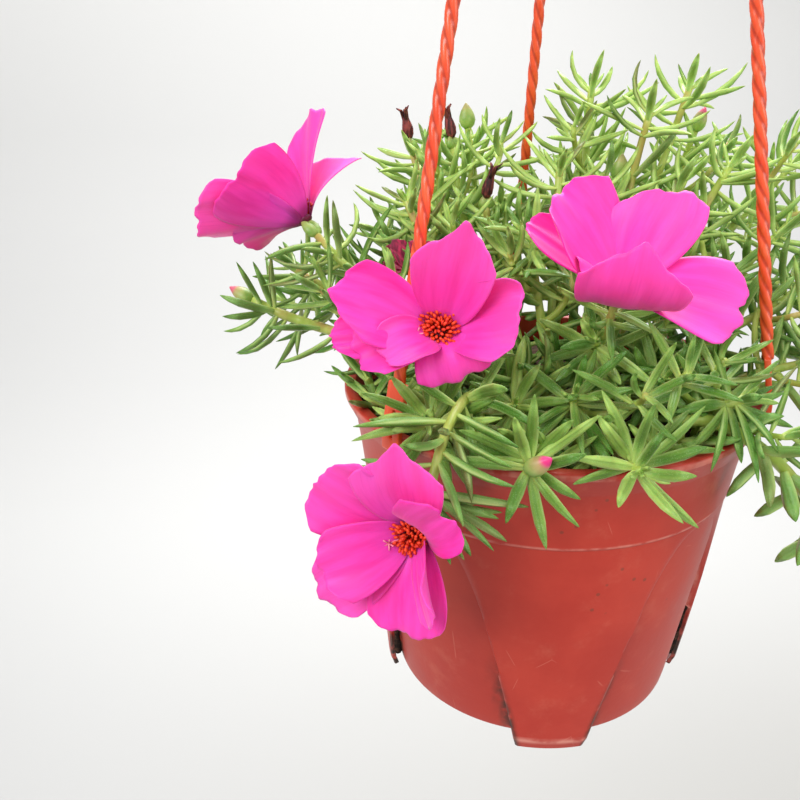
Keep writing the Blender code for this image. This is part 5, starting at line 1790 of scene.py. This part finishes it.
def make_orange():
    """Glossy orange plastic with fine lines drawn along it, and painted shade between its plies."""
    material, tree, shader = new_material(
        "orange plastic", Subsurface_Weight=0.08, Subsurface_Scale=1.5 * MM, Coat_Weight=0.15,
        Coat_Roughness=0.2, Specular_IOR_Level=0.55,
    )
    place = object_place(tree)
    cloud = between(tree, noise(tree, place, 90.0, 3.0), 0.3, 0.7)
    base = mixed(tree, cloud, screen(228, 72, 32), screen(242, 94, 48))
    # Between the plies the colour is darkened: painted shade in the grooves of the twist.
    groove_shade = painted(tree, "groove_shade")["Fac"]
    base = mixed(tree, between(tree, groove_shade, 0.2, 0.8), base, screen(160, 38, 16))
    drawn = noise(tree, object_place(tree, (1.0, 1.0, 0.12)), 900.0, 2.0)
    base = laid_over(tree, base, screen(255, 140, 92), between(tree, drawn, 0.5, 0.7), 0.2)
    tree.links.new(base, shader.inputs["Base Color"])
    gloss = add_node(tree, "MapRange", {0: drawn, 3: 0.24, 4: 0.4})[0]
    tree.links.new(gloss, shader.inputs["Roughness"])
    bump(tree, shader, drawn, 0.12, 0.15 * MM)
    return material


orange = make_orange()
print("made", orange.name)

# %% Twist the strands
PLIES = 3
PLY_LAY = 7.0 * MM
PLY_HOLLOW = 0.64
STEPS_A_TURN = 20
CLIP_TOP = 17.0 * MM


def twisted_strand(turn_degrees):
    """A strand from its clip to the hook's collar, wound from three plies."""
    low = strand_point(turn_degrees, CLIP_TOP - 1.0 * MM)
    high = strand_point(turn_degrees, STRAND_TOP + 1.0 * MM)
    line = high - low
    turns = line.length / (PLY_LAY * PLIES)
    steps = int(turns * STEPS_A_TURN)
    bm = bmesh.new()
    groove_shade = bm.verts.layers.float.new("groove_shade")
    ring = bmesh.ops.create_circle(bm, cap_ends=False, segments=18, radius=1.0)["verts"]
    for vert in ring:
        angle = math.atan2(vert.co.y, vert.co.x)
        lobe = abs(math.cos(angle * PLIES / 2)) ** 0.6
        # The value rises between the lobes, for the painted shade in the grooves.
        vert[groove_shade] = 1.0 - lobe
        vert.co *= STRAND_RADIUS * (PLY_HOLLOW + (1.0 - PLY_HOLLOW) * lobe)
    bmesh.ops.spin(
        bm, geom=bm.verts[:] + bm.edges[:], axis=(0, 0, 1), cent=(0, 0, 0),
        dvec=(0, 0, line.length / steps), angle=-turns * 2 * math.pi, steps=steps, use_merge=False,
    )
    bmesh.ops.holes_fill(bm, edges=[edge for edge in bm.edges if edge.is_boundary])
    bmesh.ops.recalc_face_normals(bm, faces=bm.faces)
    bmesh.ops.transform(bm, matrix=standing(low, line), verts=bm.verts)
    return bm


def standing(point, way):
    """The matrix that stands a shape built along +Z at a point, along a way."""
    return Matrix.Translation(point) @ way.to_track_quat("Z", "Y").to_matrix().to_4x4()


for side, turn in STRAND_TURNS.items():
    form = twisted_strand(turn)
    add_piece("twisted_strand_" + side, form, [orange], "orange_plastic", "strand_" + side)
print("turns in a strand:", round((STRAND_TOP - CLIP_TOP) / (PLY_LAY * PLIES), 1))

# %% [markdown]
# Each strand ends in a flat clip that hangs its nose under the pot's lip. The clip is drawn in
# outline and pushed out to its width. The slot that lets it spring is cut out with a Boolean, and a
# Bevel modifier then rounds the edges, because a moulded part has no sharp ones.

# %% Clips
CLIP_DEPTH = 4.6 * MM
CLIP_THICKNESS = 1.8 * MM
SLOT_SIZE = (1.2 * MM, 8 * MM, 9 * MM)
SLOT_PLACE = (0.4 * MM, -RIM_RADIUS, 4.5 * MM)
CLIP_ROUNDING = 0.3 * MM
SHARP_ANGLE = math.radians(35)


def clip_outline():
    """The clip from the side: distance from the pot's middle, and height."""
    near = RIM_RADIUS + GAP
    far = near + CLIP_THICKNESS
    slope = (RIM_RADIUS - LIP_FOOT_RADIUS) / (LIP_DEPTH - LIP_EDGE)
    nose_depth = CLIP_DEPTH - 0.4 * MM
    nose = near - slope * (nose_depth - LIP_EDGE)
    lean = STRAND_LINE_RADIUS / STRANDS_MEET * CLIP_TOP
    return [
        (nose, -CLIP_DEPTH), (nose, -nose_depth), (near, -LIP_EDGE - GAP), (near, 1.5 * MM),
        (near - lean, CLIP_TOP), (far - lean + 0.3 * MM, CLIP_TOP), (far, 1.5 * MM),
        (far, -CLIP_DEPTH + 0.8 * MM), (far - 0.8 * MM, -CLIP_DEPTH),
    ]


def clip_place(turn_degrees):
    """Stands a clip's outline upright, facing out from the pot."""
    upright = Matrix.Rotation(math.radians(90), 4, "X")
    outwards = Matrix.Rotation(math.radians(-90), 4, "Z")
    return Matrix.Rotation(math.radians(turn_degrees), 4, "Z") @ outwards @ upright


def build_clip(turn_degrees):
    """A clip with sharp edges, still without its slot."""
    bm = bmesh.new()
    face = bm.faces.new([bm.verts.new((x, y, -CLIP_WIDTH / 2)) for x, y in clip_outline()])
    ring = push_cap(bm, face)[1]
    bmesh.ops.translate(bm, verts=ring, vec=(0, 0, CLIP_WIDTH))
    bmesh.ops.recalc_face_normals(bm, faces=bm.faces)
    bmesh.ops.transform(bm, matrix=clip_place(turn_degrees), verts=bm.verts)
    return bm


def cut_slot(clip, turn_degrees):
    """Cuts the slot out of a clip with a box."""
    bm = bmesh.new()
    bmesh.ops.create_cube(bm, size=1.0)
    bmesh.ops.scale(bm, vec=SLOT_SIZE, verts=bm.verts)
    around = Matrix.Rotation(math.radians(turn_degrees), 4, "Z")
    middle = Matrix.Translation(SLOT_PLACE)
    bmesh.ops.transform(bm, matrix=RIM_TO_ORIGIN @ around @ middle, verts=bm.verts)
    cutter = make_object("slot", to_mesh("slot", bm))
    step = clip.modifiers.new("slot", "BOOLEAN")
    step.object = cutter
    step.operation = "DIFFERENCE"
    graph = bpy.context.evaluated_depsgraph_get()
    cut = bpy.data.meshes.new_from_object(clip.evaluated_get(graph))
    clip.modifiers.remove(step)
    clip.data = cut
    bpy.data.objects.remove(cutter, do_unlink=True)


def round_edges(clip):
    """Rounds a clip's sharp edges with a Bevel modifier."""
    bevel = clip.modifiers.new("soft edges", "BEVEL")
    bevel.width = CLIP_ROUNDING
    bevel.segments = 2
    bevel.limit_method = "ANGLE"
    bevel.angle_limit = SHARP_ANGLE


for side, turn in STRAND_TURNS.items():
    form = build_clip(turn)
    clip = add_piece("hanger_clip_" + side, form, [orange], "orange_plastic", "clip_" + side)
    cut_slot(clip, turn)
    round_edges(clip)
print("clips:", len(STRAND_TURNS))

# %% [markdown]
# The strands end in a ribbed cone, and a bent rod grows from it as the hook. The photograph doesn't
# show them, so they follow what such hangers have. The cone is spun, and the rod is pushed along
# the hook's curve in small steps and narrows at its end.

# %% Hook
HOOK_INNER_RADIUS = 11.0 * MM
HOOK_ROD = 2.2 * MM
COLLAR_CAP_TOP = 386.0 * MM
HOOK_STEPS = 40
HOOK_FROM = -70
HOOK_SWEEP = 259


def hook_route():
    """Points along the middle of the hook's rod."""
    centre = HOOK_ABOVE_RIM - HOOK_INNER_RADIUS
    bend = HOOK_INNER_RADIUS + HOOK_ROD
    coarse = []
    for k in range(HOOK_STEPS + 1):
        turn = math.radians(HOOK_FROM + HOOK_SWEEP * k / HOOK_STEPS)
        coarse.append(Vector((bend * math.cos(turn), 0, centre + bend * math.sin(turn))))
    start = Vector((0, 0, STRANDS_MEET - 8 * MM))
    knee = Vector((0, 0, centre - bend - 1 * MM))
    return smooth_route([start, knee, coarse[0]], 6)[:-1] + coarse


def build_hook():
    """The ribbed cone and the hook's rod."""
    low = STRAND_TOP + GAP
    profile = [
        (0.0, low), (6.0 * MM, low), (6.6 * MM, low + 0.3 * MM), (6.8 * MM, low + 1.2 * MM),
        (6.3 * MM, low + 2.2 * MM), (6.5 * MM, low + 3.4 * MM), (5.8 * MM, low + 4.6 * MM),
        (6.0 * MM, low + 5.8 * MM), (5.2 * MM, low + 7.2 * MM), (5.1 * MM, low + 9.0 * MM),
        (3.4 * MM, COLLAR_CAP_TOP - 0.4 * MM), (2.6 * MM, COLLAR_CAP_TOP), (0.0, COLLAR_CAP_TOP),
    ]
    bm = spun(profile, 40)
    route = hook_route()
    radii = [HOOK_ROD] * len(route)
    radii[-1] = HOOK_ROD * 0.55
    add_rod(bm, route, radii, 18)
    return bm


hook = add_piece("hanger_top_hook", build_hook(), [orange], "orange_plastic", "hanger_hook")
print("hook faces:", len(hook.data.polygons))

# %% [markdown]
# Buds are pointed and green, and some show a pink tip where the petals push out. Spent flowers
# shrivel into dark twists, and one bloom has wilted to crimson. Buds and twists are small turned
# forms: an outline is spun round Z, dented or twisted, and stood on the stem's tip. The wilted
# bloom is made of short petals that stand nearly shut.

# %% Bud finishes


def make_bud_material():
    """Green with a pink tip that grows along the bud."""
    material, tree, shader = new_material(
        "bud skin", Roughness=0.42, Subsurface_Weight=0.12, Subsurface_Scale=1.0 * MM,
    )
    spot = painted(tree, "bud_place")["Vector"]
    along, pink, _ = add_node(tree, "SeparateXYZ", {0: spot})
    place = object_place(tree)
    cloud = between(tree, noise(tree, place, 260.0, 3.0), 0.3, 0.7)
    base = mixed(tree, cloud, screen(112, 152, 60), screen(160, 184, 98))
    reddish = maths(tree, "MULTIPLY", pink, 0.6)
    blush = maths(tree, "MULTIPLY", between(tree, along, 0.25, 0.75), reddish)
    base = mixed(tree, blush, base, screen(206, 140, 118))
    tip = maths(tree, "MULTIPLY", between(tree, along, 0.66, 0.82), pink)
    base = mixed(tree, tip, base, screen(226, 52, 128))
    tree.links.new(base, shader.inputs["Base Color"])
    bump(tree, shader, noise(tree, place, 1200.0, 3.0), 0.3, 0.2 * MM)
    return material


def make_dry_material(name, dark, light):
    """Withered tissue: creased lengthwise and matt."""
    material, tree, shader = new_material(name, Roughness=0.68, Subsurface_Weight=0.04)
    creases = noise(tree, object_place(tree, (1.0, 1.0, 0.3)), 700.0, 4.0)
    base = mixed(tree, between(tree, creases, 0.38, 0.66), dark, light)
    tree.links.new(base, shader.inputs["Base Color"])
    bump(tree, shader, creases, 0.8, 0.5 * MM)
    return material


bud_green = make_bud_material()
dry_purple = make_dry_material("dried bud", screen(44, 14, 22), screen(142, 66, 66))
wilted_crimson = make_dry_material("wilted crimson", screen(112, 10, 48), screen(186, 34, 82))
print("made", bud_green.name, dry_purple.name, wilted_crimson.name)

# %% Buds and calyces
PINK_BUDS = {"rim_whorl": 1.0, "right_high": 0.8, "left_trailing": 0.7}
PALE_BUD = 0.15
PALE_CUP = 0.1
BUD_LEANS = {"rim_whorl": (48, -28)}
BUD_LENGTH = 9.6 * MM
BUD_RADIUS = 3.2 * MM
BUD_OUTLINE = (
    (0.0, 0.42), (0.12, 0.8), (0.3, 1.0), (0.5, 0.92), (0.7, 0.68), (0.86, 0.36), (0.96, 0.14),
)
BLOOM_CUP = (CALYX_LENGTH + 0.6 * MM, 2.2 * MM, 0.0)
SMALL_CUP = (4.6 * MM, 1.9 * MM, -1.5 * MM)
SEPALS = 2


def pointed(outline, length, radius, sides):
    """A closed pointed form, spun from an outline in shares of its length and its radius."""
    middle = [(radius * wide, length * up) for up, wide in outline]
    return spun([(0.0, 0.0), *middle, (0.0, length)], sides)


def add_bud(bm, length, radius, pink, matrix):
    """A pointed bud: two cupped halves that meet in a raised seam."""
    bud = pointed(BUD_OUTLINE, length, radius, 16)
    place = bud.verts.layers.float_vector.new("bud_place")
    for vert in bud.verts:
        turn = math.atan2(vert.co.y, vert.co.x)
        swell = 1.0 + 0.1 * abs(math.cos(turn)) ** 6
        vert[place] = (vert.co.z / length, pink, 0.0)
        vert.co.x *= swell
        vert.co.y *= 0.86
    bmesh.ops.transform(bud, matrix=matrix, verts=bud.verts)
    mesh = to_mesh("bud", bud)
    bm.from_mesh(mesh)
    bpy.data.meshes.remove(mesh)


def build_ending(name, stem):
    """What sits on a stem's tip: a bud, or the green cup under a bloom or a withered flower."""
    bm = bmesh.new()
    bm.verts.layers.float_vector.new("bud_place")
    place = standing(stem.route[-1], stem.way)
    if stem.ending == "bud":
        aside, back = BUD_LEANS.get(name, (0, 0))
        place = place @ Matrix.Rotation(math.radians(aside), 4, "Y")
        place = place @ Matrix.Rotation(math.radians(back), 4, "X")
        add_bud(bm, BUD_LENGTH, BUD_RADIUS, PINK_BUDS.get(name, PALE_BUD), place)
        return bm
    length, radius, low = BLOOM_CUP if stem.ending == "bloom" else SMALL_CUP
    for k in range(SEPALS):
        aside = Matrix.Rotation(math.pi * k, 4, "Z") @ Matrix.Translation((0.5 * MM, 0, low))
        lean = Matrix.Rotation(math.radians(9), 4, "Y")
        add_bud(bm, length, radius, PALE_CUP, place @ aside @ lean)
    return bm


for name, stem in stems.items():
    if stem.ending != "crown":
        add_piece("stem_tip_" + name, build_ending(name, stem), [bud_green], "leaves")
print("buds and cups:", sum(stem.ending != "crown" for stem in stems.values()))

# %% Withered flowers
WILTED_PETALS = [
    Petal(0, 14, 12, 72, 50, 0.2), Petal(90, 12, 12, 74, 20, 0.2),
    Petal(180, 14, 12, 72, 45, 0.2), Petal(270, 12, 11, 74, 15, 0.2),
    Petal(45, 11, 10, 60, 20, 0.2), Petal(225, 12, 10, 62, 10, 0.2),
]
DRIED_LENGTH = 11.0 * MM
DRIED_RADIUS = 2.1 * MM
DRIED_OUTLINE = (
    (0.0, 0.5), (0.14, 0.92), (0.32, 1.0), (0.52, 0.8), (0.7, 0.56), (0.86, 0.3), (0.96, 0.14),
)
CURLED_TIP = ((0.4, 0.6), (1.1, 0.95), (2.6, 1.06))


def build_dried_bud():
    """A dark pointed twist with deep creases and three curled tips."""
    bm = pointed(DRIED_OUTLINE, DRIED_LENGTH, DRIED_RADIUS, 20)
    for vert in bm.verts:
        crease = 1.0 - 0.16 * math.cos(5 * math.atan2(vert.co.y, vert.co.x)) ** 2
        vert.co.x *= crease
        vert.co.y *= crease
        vert.co = Matrix.Rotation(vert.co.z / MM * 0.16, 3, "Z") @ vert.co
    for turn in (0.4, 2.3, 4.6):
        out = Vector((math.cos(turn), math.sin(turn), 0.0))
        route = [out * far * MM + Vector((0, 0, DRIED_LENGTH * up)) for far, up in CURLED_TIP]
        add_rod(bm, route, [0.9 * MM, 0.6 * MM, 0.25 * MM], 6)
    for vert in bm.verts:
        vert.co.x += 0.02 / MM * vert.co.z ** 2
    return bm


def build_wilted_bloom():
    """Short crumpled petals that stand nearly shut."""
    bm = bmesh.new()
    layer = bm.verts.layers.float_vector.new("petal_place")
    for k, petal in enumerate(WILTED_PETALS):
        add_petal(bm, petal, 2.1 * k, layer)
    cup = bmesh.ops.create_uvsphere(bm, u_segments=14, v_segments=8, radius=2.6 * MM)["verts"]
    bmesh.ops.translate(bm, vec=(0, 0, 1.6 * MM), verts=cup)
    return bm


for name, stem in stems.items():
    if stem.ending not in ("dry", "wilted"):
        continue
    place = standing(stem.route[-1] + stem.way * (2.0 * MM + GAP), stem.way)
    form = build_dried_bud() if stem.ending == "dry" else build_wilted_bloom()
    bmesh.ops.transform(form, matrix=place, verts=form.verts)
    if stem.ending == "dry":
        add_piece("spent_bud_" + name, form, [dry_purple], "dried_bud", "dried_bud_" + name)
    else:
        add_piece("spent_bloom", form, [wilted_crimson], "wilted_petals", "wilted_bloom")
print("withered flowers are on their stems")

# %% [markdown]
# The photograph has a plain pale background and soft, even light, as in a small studio. A wide
# floor that curves up into a wall leaves no horizon. Its grey is graded with painted light and
# shade: darker at the front right of the floor, lighter towards the back and up the wall. Large
# area
# lights give soft shadows: one in front from above left, a weaker one on the right, and one above
# and behind for bright leaf edges.

# %% Floor, wall and light
WORLD_STRENGTH = 0.57
FLOOR_BELOW = 620 * MM
FLOOR_REACH = 3.2
FLOOR_BEHIND = 1.5
CORNER_RADIUS = 0.5
CORNER_STEPS = 8
WALL_HEIGHT = 2.6


def make_shaded_backdrop_material():
    """Pale grey with painted shade and light: darkest at the front right of the floor, lightest
    high on the wall.
    """
    material, tree, shader = new_material("pale backdrop", Roughness=0.9, Specular_IOR_Level=0.1)
    side, back, height = add_node(tree, "SeparateXYZ", {0: object_place(tree)})
    # The grey is graded as painted shade and light: darker at the front right of the floor, lighter
    # towards the back and up the wall.
    near = mixed(tree, between(tree, side, -0.5, 0.4), screen(184, 184, 183), screen(171, 170, 167))
    base = mixed(tree, between(tree, back, 0.2, 1.1), near, screen(217, 217, 216))
    base = mixed(tree, between(tree, height, -0.98, -0.55), base, screen(228, 228, 227))
    base = mixed(tree, between(tree, height, -0.6, 0.1), base, screen(246, 246, 244))
    tree.links.new(base, shader.inputs["Base Color"])
    return material


def make_backdrop():
    """A pale sweep: floor, curve and wall in one."""
    bm = bmesh.new()
    floor = -HOOK_ABOVE_RIM - FLOOR_BELOW
    bend = FLOOR_BEHIND - CORNER_RADIUS
    points = [(-FLOOR_REACH, floor), (bend, floor)]
    for k in range(1, CORNER_STEPS + 1):
        turn = math.radians(90 * k / CORNER_STEPS)
        rise = CORNER_RADIUS * (1 - math.cos(turn))
        points.append((bend + CORNER_RADIUS * math.sin(turn), floor + rise))
    points.append((FLOOR_BEHIND, floor + WALL_HEIGHT))
    verts = [bm.verts.new((-FLOOR_REACH, y, z)) for y, z in points]
    edges = [bm.edges.new(pair) for pair in zip(verts, verts[1:])]
    swept = bmesh.ops.extrude_edge_only(bm, edges=edges)["geom"]
    moved = [item for item in swept if isinstance(item, bmesh.types.BMVert)]
    bmesh.ops.translate(bm, verts=moved, vec=(2 * FLOOR_REACH, 0, 0))
    mesh = to_mesh("backdrop", bm)
    mesh.shade_smooth()
    mesh.materials.append(make_shaded_backdrop_material())
    backdrop = make_object("backdrop", mesh)


def add_softbox(name, place, size, power):
    """A square area light that looks at the plant."""
    data = bpy.data.lights.new(name, "AREA")
    data.size = size
    data.energy = power
    light = make_object(name, data)
    light.location = place
    aim = Vector((0, 0, -HOOK_ABOVE_RIM)) - Vector(place)
    light.rotation_euler = aim.to_track_quat("-Z", "Y").to_euler()


def light_the_world():
    """An even pale surrounding."""
    world = bpy.data.worlds.new("pale surround")
    world.use_nodes = True
    surround = world.node_tree.nodes["Background"]
    surround.inputs["Color"].default_value = (1.0, 1.0, 1.0, 1.0)
    surround.inputs["Strength"].default_value = WORLD_STRENGTH
    bpy.context.scene.world = world


make_backdrop()
add_softbox("key", (-0.7, -0.9, 0.45), 0.8, 16)
add_softbox("fill", (0.9, -0.6, 0.0), 0.9, 6.5)
add_softbox("rim light", (0.2, 0.8, 0.5), 0.8, 25)
light_the_world()
bpy.context.scene.view_settings.view_transform = "Standard"
